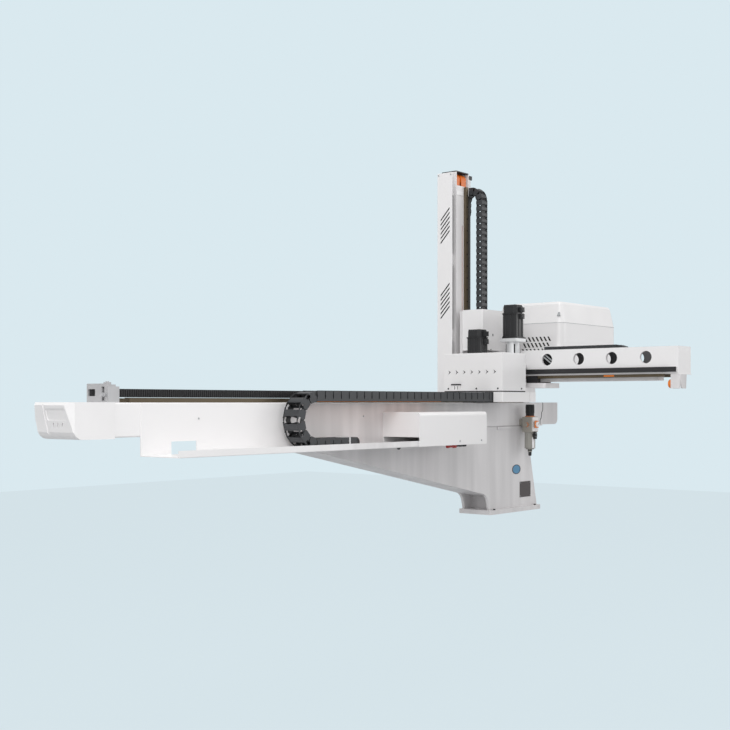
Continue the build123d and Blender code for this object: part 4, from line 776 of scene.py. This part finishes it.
def motor(s):
    s = {**motorSet, **s}
    x, y = s["centre"]
    half, low, high = s["half"], s["bottom"], s["top"]
    seam = high - s["cap"] - s["seam"]
    collar = high - s["cap"] - s["collar"]
    body = Piece(s["name"] + "Body")
    body.put((x, y, 0))
    body.prism(corneredSquare(half, s["corner"]), low, low + s["flange"])
    body.prism(corneredSquare(half, s["corner"]), collar, seam)
    side = half - s["inset"]
    profile = [(side - deep, along * side) for along, deep in zip(s["groove"], s["grooveDepth"])]
    profile.append((side - s["rounding"], s["shoulder"] * side))
    profile.append((s["shoulder"] * side, side - s["rounding"]))
    flute = []
    for quarter in range(4):
        c, n = cos(pi / 2 * quarter), sin(pi / 2 * quarter)
        flute += [(a * c - b * n, a * n + b * c) for a, b in profile]
    body.prism(flute, low + s["flange"], collar)
    body.finish(motorPaint, s["body"], "drive_dark", (s["node"],), 0.8)
    cap = Piece(s["name"] + "Cap")
    cap.put((x, y, 0))
    capShape = corneredSquare(half - s["capInset"], s["capCorner"])
    cap.prism(capShape, seam, high - s["capCrown"])
    cap.prism(capShape, high - s["capCrown"], high, s["capTaper"])
    plugX, (wide, tall), (out, into) = x + s["plugX"], s["plugHalf"], s["plugReach"]
    for level in s["plugs"]:
        cap.put((plugX, y, level))
        cap.box((-wide, wide), (-half - out, -half + into), (-tall, tall))
        cap.put((plugX, y - half - out, level), (1, 0, 0), (0, 0, 1))
        cap.turned(s["plugFace"], 16)
    cap.finish(capPlastic, s["body"], "cap_black", (s["node"],), 1.2)
    screws = Piece(s["name"] + "Screws")
    for a in (-1, 1):
        for b in (-1, 1):
            screws.put((x + a * (half - 9), y + b * (half - 9), low + s["flange"]))
            screws.turned(s["flangeScrew"], 10)
            screws.put((x + a * (half - 13), y + b * (half - 13), high))
            screws.turned(s["capScrew"], 8)
    screws.finish(blackSteel, s["body"], "drive_dark", (s["node"],))


motor({
    "name": "crosswiseMotor", "node": "crosswise_motor", "body": "carriage", "centre": (-91, -132),
    "half": 43, "bottom": 866, "top": 1032, "cap": 40, "plugs": (1008, 975),
})
motor({
    "name": "traverseMotor", "node": "traverse_motor", "body": "carriage", "centre": (-220, -7),
    "half": 42, "bottom": 742, "top": 909, "cap": 36, "plugs": (888, 850),
})
gear = Piece("traverseGear")
gear.put((-220, -7, 0))
gear.turned([(40, 622), (40, 728), (36, 731), (36, 736)], 40)
gear.prism(corneredSquare(45, 8), 622, 632)
gear.prism(corneredSquare(44, 8), 732, 742)
gear.finish(aluminium, "carriage", "gearbox_silver", ("traverse_motor",), 0.8)
# dark gearbox slots: painted shade in the recesses
slots = Piece("gearboxSlots")
for quarter in range(4):
    angle = pi / 2 * quarter + 0.98 * pi / 4
    out = Vector((cos(angle), sin(angle), 0))
    slots.put(Vector((-91, -132, 0)) + out * 34.2, out, (-out.y, out.x, 0))
    slots.box((-1.5, 1.0), (-3.2, 3.2), (792, 838))
slots.finish(shadeAndSeamBlack, "carriage", "drive_dark")
report("drives")


# Fasteners. A screw is a washer face and a round head with a softened rim
def screw(piece, place, out, radius):
    out = Vector(out)
    side = out.orthogonal()
    piece.put(place, side, out.cross(side))
    washer, rim, face = radius * 1.25, radius * 0.85, 0.8
    piece.turned([(washer, 0), (washer, face), (radius, face), (radius, radius * 0.8), (rim, radius)], 14)


screwSet = {
    "coverScrewsLeft": {
        "places": [(-345, y, 617) for y in (79, -85.5, -208)], "out": (-1, 0, 0), "radius": 3.6,
        "body": "carriage", "dark": True,
    },
    "coverScrewsFront": {
        "places": [(-179, -235, 617)], "out": (0, -1, 0), "radius": 3.6, "body": "carriage", "dark": True,
    },
    "skirtScrews": {
        "places": [(x, -78, 492) for x in (-2135, -1191)], "out": (0, -1, 0), "radius": 3.2, "body": "base",
    },
    "entryBoxScrews": {
        "places": [(-760, -278, 379), (-590, -278, 379)], "out": (0, -1, 0), "radius": 3.4, "body": "base",
    },
    "armCoverScrews": {
        "places": [(-206, y, z) for y in (163, 238) for z in (562, 1700)], "out": (-1, 0, 0),
        "radius": 3.2, "body": "outer_arm",
    },
    "footBolts": {
        "places": [(x, y, 22) for x in (-190, 190) for y in (-86, 86)], "out": (0, 0, 1),
        "radius": 5.5, "body": "base", "dark": True,
    },
    "ratingPlateScrews": {
        "places": [(x, -76.2, z) for x in (68, 159) for z in (74, 141)], "out": (0, -1, 0),
        "radius": 2.2, "body": "base",
    },
}
for name, s in screwSet.items():
    piece = Piece(name)
    for place in s["places"]:
        screw(piece, place, s["out"], s["radius"])
    finish, slotName = (blackSteel, "drive_dark") if s.get("dark") else (turnedSteel, "turned_steel")
    piece.finish(finish, s["body"], slotName)
railPlugs = Piece("railScrews")
for i in range(42):
    for y in (-60, 93):
        railPlugs.put((-2415 + i * 60, y, 565))
        railPlugs.turned([(4.5, -0.5), (4.5, 0.25)], 12)
railPlugs.finish(shadeAndSeamBlack, "base", "guide_steel")
upright = Piece("armRailScrews")
for i in range(18):
    upright.put((-94, 140, 585 + i * 60), (1, 0, 0), (0, 0, 1))
    upright.turned([(4.2, -0.5), (4.2, 0.25)], 12)
upright.finish(shadeAndSeamBlack, "outer_arm", "guide_steel")

# Bits that are a few plain boxes each, given by their x, y and z
boxSet = {
    # dark plates behind vents, holes and openings: painted shade
    "armCoverShade": (shadeAndSeamBlack, "outer_arm", "black_rubber", 0, [
        ((-202.4, -201.4), (158, 243), (1120, 1660)),
    ]),
    "armCoverShadeLow": (shadeAndSeamBlack, "outer_arm", "black_rubber", 0, [
        ((-202.4, -201.4), (158, 243), (600, 1110)),
    ]),
    "carriageCoverShade": (shadeAndSeamBlack, "carriage", "black_rubber", 0, [((-342.4, -340.5), (-228, 100), (672, 722))]),
    "boxVentShadePlate": (shadeAndSeamBlack, "carriage", "black_rubber", 0, [((127.6, 131), (-240, -30), (795, 890))]),
    "beamHoleShade": (shadeAndSeamBlack, "crosswise_slide", "black_rubber", 0, [((-14, 5), (-330, -212), (689.9, 803))]),
    "coverLatch": (whitePaint, "carriage", "white_sheet", 1.2, [
        ((-354, -344), (6.9, 53.2), (605.8, 634)), ((-349, -344), (1.9, 58.2), (605.8, 614.8)),
    ]),
    "coverLatchHood": (blackSteel, "carriage", "drive_dark", 0.8, [
        ((-357, -344), (3.9, 56.2), (634, 640)),
        ((-354.8, -353), (16, 19), (613, 630)), ((-354.8, -353), (34, 37), (613, 630)),
    ]),
    "coverSeal": (rubber, "carriage", "black_rubber", 0, [
        ((-343, -141), (-233, -228), (601, 606)), ((-343, -338), (-228, 104), (601, 606)),
    ]),
    "chainAnchor": (aluminium, "base", "gearbox_silver", 0.6, [
        ((-1404, -1396), (-180.5, -99.5), (365, 409.5)), ((-1396, -1352), (-182, -98), (362.5, 366)),
    ]),
    "chainFoot": (blackSteel, "base", "drive_dark", 0.6, [((-1366, -1346), (-176, -104), (400, 408))]),
    "chainArm": (blackSteel, "carriage", "drive_dark", 0.8, [
        ((-489, -300), (-178, -104), (549.5, 553.5)), ((-300, -262), (-178, -104), (552, 600)),
    ]),
    "ratingPlate": (plateGrey, "base", "drive_dark", 0.5, [((62, 165), (-76.4, -74.6), (68, 147))]),
    "bowlSight": (whitePlastic, "base", "bowl_grey", 1.2, [((60, 79), (-152.2, -148), (320, 374))]),
    # painted shade in the drive cover's slots
    "driveCoverSlots": (shadeAndSeamBlack, "crosswise_slide", "drive_dark", 0, [
        ((-86, -80), (-8.6, -7.4), (883, 895)), ((-104, -98), (-8.6, -7.4), (812, 818)),
    ]),
    "armCoverSpacers": (whitePaint, "outer_arm", "white_sheet", 0, [
        ((-202, -170), (175, 205), (z, z + 60)) for z in (600, 860, 1240, 1600)
    ]),
    "drumGuard": (whitePaint, "outer_arm", "white_sheet", 1.0, [
        ((-168, -112), (152.7, 155.2), (1601, 1622)),
    ]),
    "beamCableTie": (orangeRubber, "crosswise_slide", "orange_rubber", 0.6, [
        ((-27, -25), (-650, -596), (672, 680)),
    ]),
    "clampBeltEnd": (beltRubber, "base", "belt_rubber", 0, [((-2520.1, -2517), (12, 56), (568, 600))] + [
        ((-2522.5, -2520), (17 + i * 7.5, 21 + i * 7.5), (570, 598)) for i in range(5)
    ]),
    "beltBackStrip": (stripBrown, "base", "rail_steel", 0, [((-2440, 100), (-36, -34), (550, 566.5))]),
}
for name, (finish, body, slotName, bevel, boxes) in boxSet.items():
    piece = Piece(name)
    for x, y, z in boxes:
        piece.box(x, y, z)
    piece.finish(finish, body, slotName, (), bevel)

# Under the cable entry box: a clip, the red fitting and two hose tails
clip = Piece("trayClip")
clip.put((-1195, -272, 0), (1, 0, 0), (0, 0, 1))
clip.prism([(-13, 362), (13, 362), (5, 354), (-5, 354)], -2, 1)
clip.finish(blackSteel, "base", "drive_dark", (), 0.6)
fitting = Piece("redFitting")
fitting.put((-750, -200, 353.1), (0, 1, 0), (0, 0, 1))
fitting.turned([(5, 0), (8, 2), (8, 18), (6, 20), (6, 48), (9, 50), (9, 66), (6, 70)], 16)
fitting.finish(redPlastic, "base", "orange_part")
pair = Piece("hoseTails")
for y in (-209, -193):
    pair.put((-664, y, 355.6), (0, 1, 0), (0, 0, 1))
    pair.turned([(6.5, 0), (6.5, 18), (5, 19), (5, 27), (6.5, 28), (6.5, 46)], 14)
pair.finish(shadowGrey, "base", "grey_moulding")

# Bare badge on the pedestal
badge = Piece("pedestalBadge")
badge.put((29, -75, 212), (1, 0, 0), (0, 0, 1))
badge.prism([(x * 1.36, y * 0.86) for x, y in ngon(25, 36)], -0.4, 1.2)
badge.finish(badgeBlue, "base", "grey_moulding")
rim = Piece("pedestalBadgeRim")
rim.put((29, -75, 212), (1, 0, 0), (0, 0, 1))
oval = [(x * 1.36, y * 0.86) for x, y in ngon(1.0, 36)]
sheetWithHoles(rim, [(x * 28, y * 28) for x, y in oval], [[(x * 24.8, y * 24.8) for x, y in oval]], -0.4, 1.8)
rim.finish(shadowGrey, "base", "drive_dark")

# Filter regulator: orange seal and ports, gauge, knob ribs, elbow with its nuts, drain and guard
regulatorSet = {"x": 79.5, "y": -125.0}
s = regulatorSet
seals = Piece("regulatorSeals")
seals.put((s["x"], s["y"], 0))
seals.turned([(23.5, 476), (25.5, 477.5), (25.5, 481), (22.5, 482)], 36)
seals.put((s["x"] - 30, s["y"], 438), (0, 1, 0), (0, 0, 1))
seals.turned([(12, 0), (12, -7), (9.5, -9), (6, -9.5)], 6)
seals.put((s["x"] - 4, -166, 440), (1, 0, 0), (0, 0, 1))
seals.prism(corneredSquare(18, 4), -1, 2.5)
seals.finish(orangeRubber, "base", "orange_rubber", (), 0.8)
gauge = Piece("regulatorGauge")
gauge.put((s["x"] - 2, -168.5, 440), (1, 0, 0), (0, 0, 1))
gauge.turned([(13.5, 0), (13.5, 5), (12.4, 6.5), (11, 6.5), (11, 5), (0.4, 5)], 32)
gauge.put((0, -155.2, 0), (1, 0, 0), (0, 0, 1))
gauge.prism([(54, 405), (107, 405), (107, 471), (102, 476), (57, 476), (54, 471)], -0.4, 1.6)
gauge.finish(whitePlastic, "base", "white_moulding")
mark = Piece("gaugeHand")
mark.put((s["x"] - 2, -173.8, 440), (0.8, 0, 0.6), (-0.6, 0, 0.8))
mark.prism([(-3, -0.7), (8, -0.3), (8, 0.3), (-3, 0.7)], -0.2, 0.5)
mark.turned([(1.6, -0.2), (1.6, 0.9)], 12)
mark.finish(blackSteel, "base", "drive_dark")
ribs = Piece("knobRibs")
for i in range(28):
    angle = 2 * pi * i / 28
    out = Vector((cos(angle), sin(angle), 0))
    ribs.put(Vector((s["x"], s["y"], 0)) + out * 21.4, out, (-out.y, out.x, 0))
    ribs.prism([(-0.8, -1.5), (0.9, -0.9), (0.9, 0.9), (-0.8, 1.5)], 496, 533)
ribs.finish(capPlastic, "pressure_knob", "cap_black")
elbow = Piece("regulatorElbow")
elbow.box((63, 79), (-168, -152), (377, 395))
elbow.put((71, -160, 0))
elbow.turned([(9, 396), (9, 400), (7, 402)], 16)
elbow.turned([(9.5, 366), (9.5, 376)], 16)
elbow.put((71, -152, 386), (1, 0, 0), (0, 0, 1))
elbow.turned([(6, -8), (6, 2)], 12)
elbow.put((s["x"], s["y"], 0))
elbow.turned([(6, 280), (8.4, 284), (8.4, 302), (11, 306), (11, 313)], 24)
elbow.finish(capPlastic, "base", "cap_black", (), 0.8)
guard = Piece("bowlGuardRibs")
for i in range(12):
    angle = 2 * pi * i / 12 + 0.2
    out = Vector((cos(angle), sin(angle), 0))
    guard.put(Vector((s["x"], s["y"], 0)) + out * 25.8, out, (-out.y, out.x, 0))
    guard.prism([(-0.8, -2.6), (1.0, -1.6), (1.0, 1.6), (-0.8, 2.6)], 318, 394)
guard.put((s["x"], s["y"], 0))
guard.turned([(25.6, 394), (28, 395), (28, 400), (25.6, 401)], 36)
guard.finish(bowlPlastic, "base", "bowl_grey")

# Seam of the right end cover, hook and seal of the lid
seam = Piece("rightCoverSeam")
seam.put((0, -75.3, 0), (1, 0, 0), (0, 0, 1))
seam.prism([(286, 549), (289.5, 549), (289, 512), (279, 498), (274, 470), (262, 456), (262, 437), (259, 437),
            (259, 457), (271, 471), (276, 499), (286, 513)], -0.3, 0.9)
seam.finish(shadeAndSeamBlack, "base", "black_rubber")
hook = Piece("lidHook")
hook.put((131, -262, 985), (0, 1, 0), (0.25, 0, 1))
hook.prism([(-9, 0), (9, 0), (6, 8), (4, 20), (-4, 20), (-6, 8)], -6, 3)
hook.finish(greyPlastic, "carriage", "grey_moulding", (), 1.2)
trimSet = {"x": (123.9, 698.1), "y": (-286.1, 106.1), "z": (951.7, 953.3), "corner": 35.0}


def roundedOutline(x, y, corner, steps=6):
    outline = []
    for quarter, (cx, cy) in enumerate([(x[1], y[1]), (x[0], y[1]), (x[0], y[0]), (x[1], y[0])]):
        middle = (cx + (corner if cx == x[0] else -corner), cy + (corner if cy == y[0] else -corner))
        for i in range(steps + 1):
            angle = pi / 2 * (quarter + i / steps)
            outline.append((middle[0] + corner * cos(angle), middle[1] + corner * sin(angle)))
    return outline


trim = Piece("lidSeal")
trim.prism(roundedOutline(trimSet["x"], trimSet["y"], trimSet["corner"]), *trimSet["z"])
trim.finish(greyPlastic, "carriage", "grey_moulding")

# Arm cover: folded sheet with two groups of slanted vents, on its spacers
armCoverSet = {"x": (-206.0, -203.2), "y": (155.0, 246.0), "z": (550.0, 1710.5), "slots": 6, "pitch": 23.0,
               "groups": (1357.0, 976.0), "rise": 59.0, "slotWidth": 8.0, "slotY": (171.0, 226.0)}
s = armCoverSet
armSheet = Piece("armSheet")
armSheet.put((s["x"][0], 0, 0), (0, 1, 0), (0, 0, 1))
slotLoops = []
for foot in s["groups"]:
    for k in range(s["slots"]):
        z = foot + k * s["pitch"] - s["slotWidth"] / 2
        slotLoops.append([(s["slotY"][1], z), (s["slotY"][1], z + s["slotWidth"]),
                          (s["slotY"][0], z + s["rise"] + s["slotWidth"]), (s["slotY"][0], z + s["rise"])])
(y0, y1), (z0, z1) = s["y"], s["z"]
sheetWithHoles(armSheet, [(y0, z0), (y1, z0), (y1, z1), (y0, z1)], slotLoops, 0, s["x"][1] - s["x"][0])
armSheet.put()
armSheet.box((s["x"][1], -170), (y1 - 2.5, y1), (z0, z1 - 60))
armSheet.finish(whitePaint, "outer_arm", "white_sheet", ("arm_cover",), 0.8)
slats = Piece("armVentShade")
slats.put((s["x"][0] - 0.35, 0, 0), (0, 1, 0), (0, 0, 1))
for loop in slotLoops:
    slats.prism([(a, b) for a, b in loop], 0, 0.9)
slats.finish(shadeAndSeamBlack, "outer_arm", "drive_dark")
boxVents = Piece("boxVentShade")
boxVents.put((124.6, 0, 0), (0, 1, 0), (0, 0, 1))
for row in range(3):
    for column in range(7):
        y, z = -60 - column * 23 - row * 6, 812 + row * 30
        boxVents.prism([(y + 11, z + 11.5), (y + 2, z + 11.5), (y - 11, z - 11.5), (y - 2, z - 11.5)], 0, 1)
boxVents.finish(shadeAndSeamBlack, "carriage", "drive_dark")
tensioner = Piece("beltTensionScrew")
tensioner.rod((-2541, -36.5, 576), (-2523, -36.5, 576), 5.5, 6)
tensioner.rod((-2523, -36.5, 576), (-2500, -36.5, 576), 3.2, 12)
tensioner.finish(turnedSteel, "base", "turned_steel")
report("small parts")


# Studio: pale floor and backdrop, a broad key, a fill from the left, a top light and one from the right
studioSet = {
    "floorHeight": -0.95, "floorReach": 14.0, "floorColour": (0.56, 0.57, 0.58), "floorRoughness": 0.9,
    "cameraShare": 0.88, "glossyShare": 0.12, "backdrop": (0.70, 0.815, 0.865), "skyStrength": 0.60,
}
lampSet = {
    "keyLight": {"place": (-5.5, -3.0, 4.5), "target": (-0.8, 0, 0.6), "size": (3.5, 3.0), "power": 168},
    "leftLight": {"place": (-4.6, -2.4, 1.3), "target": (-2.2, 0, 0.5), "size": (1.2, 1.2), "power": 16},
    "topLight": {"place": (-0.6, 0.0, 4.6), "target": (-0.6, 0, 0.6), "size": (4.0, 3.0), "power": 42},
    "sideLight": {"place": (3.8, -4.0, 2.2), "target": (0, 0, 0.6), "size": (2.5, 2.5), "power": 50},
}


def areaLight(name, s):
    data = bpy.data.lights.new(name, "AREA")
    data.shape = "RECTANGLE"
    data.size, data.size_y = s["size"]
    data.energy = s["power"]
    lamp = bpy.data.objects.new(name, data)
    lamp.location = s["place"]
    lamp.rotation_euler = (Vector(s["target"]) - Vector(s["place"])).to_track_quat("-Z", "Y").to_euler()
    scene.collection.objects.link(lamp)


def makeStudio(s):
    floorFinish = Finish("studioFloor")
    camera = floorFinish.node("ShaderNodeLightPath", output="Is Camera Ray")
    glossy = floorFinish.node("ShaderNodeLightPath", output="Is Glossy Ray")
    glow = floorFinish.node("ShaderNodeEmission", {}, {"Color": rgba(s["backdrop"]), "Strength": 1.0})
    seen = camera * s["cameraShare"] + glossy * s["glossyShare"]
    floorFinish.set(Base_Color=rgba(s["floorColour"]), Roughness=s["floorRoughness"])
    lit = Flow(floorFinish, floorFinish.shader.outputs[0])
    blended = floorFinish.node("ShaderNodeMixShader", {}, {0: seen, 1: lit, 2: glow})
    outlet = floorFinish.tree.nodes["Material Output"]
    floorFinish.feed(outlet.inputs["Surface"], blended)
    mesh = bpy.data.meshes.new("studioFloor")
    r = s["floorReach"]
    mesh.from_pydata([(-r, -r, 0), (r, -r, 0), (r, r, 0), (-r, r, 0)], [], [(0, 1, 2, 3)])
    floor = bpy.data.objects.new("studioFloor", mesh)
    floor.location.z = s["floorHeight"]
    mesh.materials.append(floorFinish.material)
    scene.collection.objects.link(floor)
    world = bpy.data.worlds.new("studioSky")
    world.use_nodes = True
    tree = world.node_tree
    ground = tree.nodes["Background"]
    ground.inputs["Color"].default_value = (1, 1, 1, 1)
    ground.inputs["Strength"].default_value = s["skyStrength"]
    white = tree.nodes.new("ShaderNodeBackground")
    white.inputs["Color"].default_value = rgba(s["backdrop"])
    path = tree.nodes.new("ShaderNodeLightPath")
    blend = tree.nodes.new("ShaderNodeMixShader")
    tree.links.new(path.outputs["Is Camera Ray"], blend.inputs[0])
    tree.links.new(ground.outputs[0], blend.inputs[1])
    tree.links.new(white.outputs[0], blend.inputs[2])
    tree.links.new(blend.outputs[0], tree.nodes["World Output"].inputs[0])
    scene.world = world


makeStudio(studioSet)
for name, s in lampSet.items():
    areaLight(name, s)
scene.view_settings.view_transform = "Standard"
report("studio")
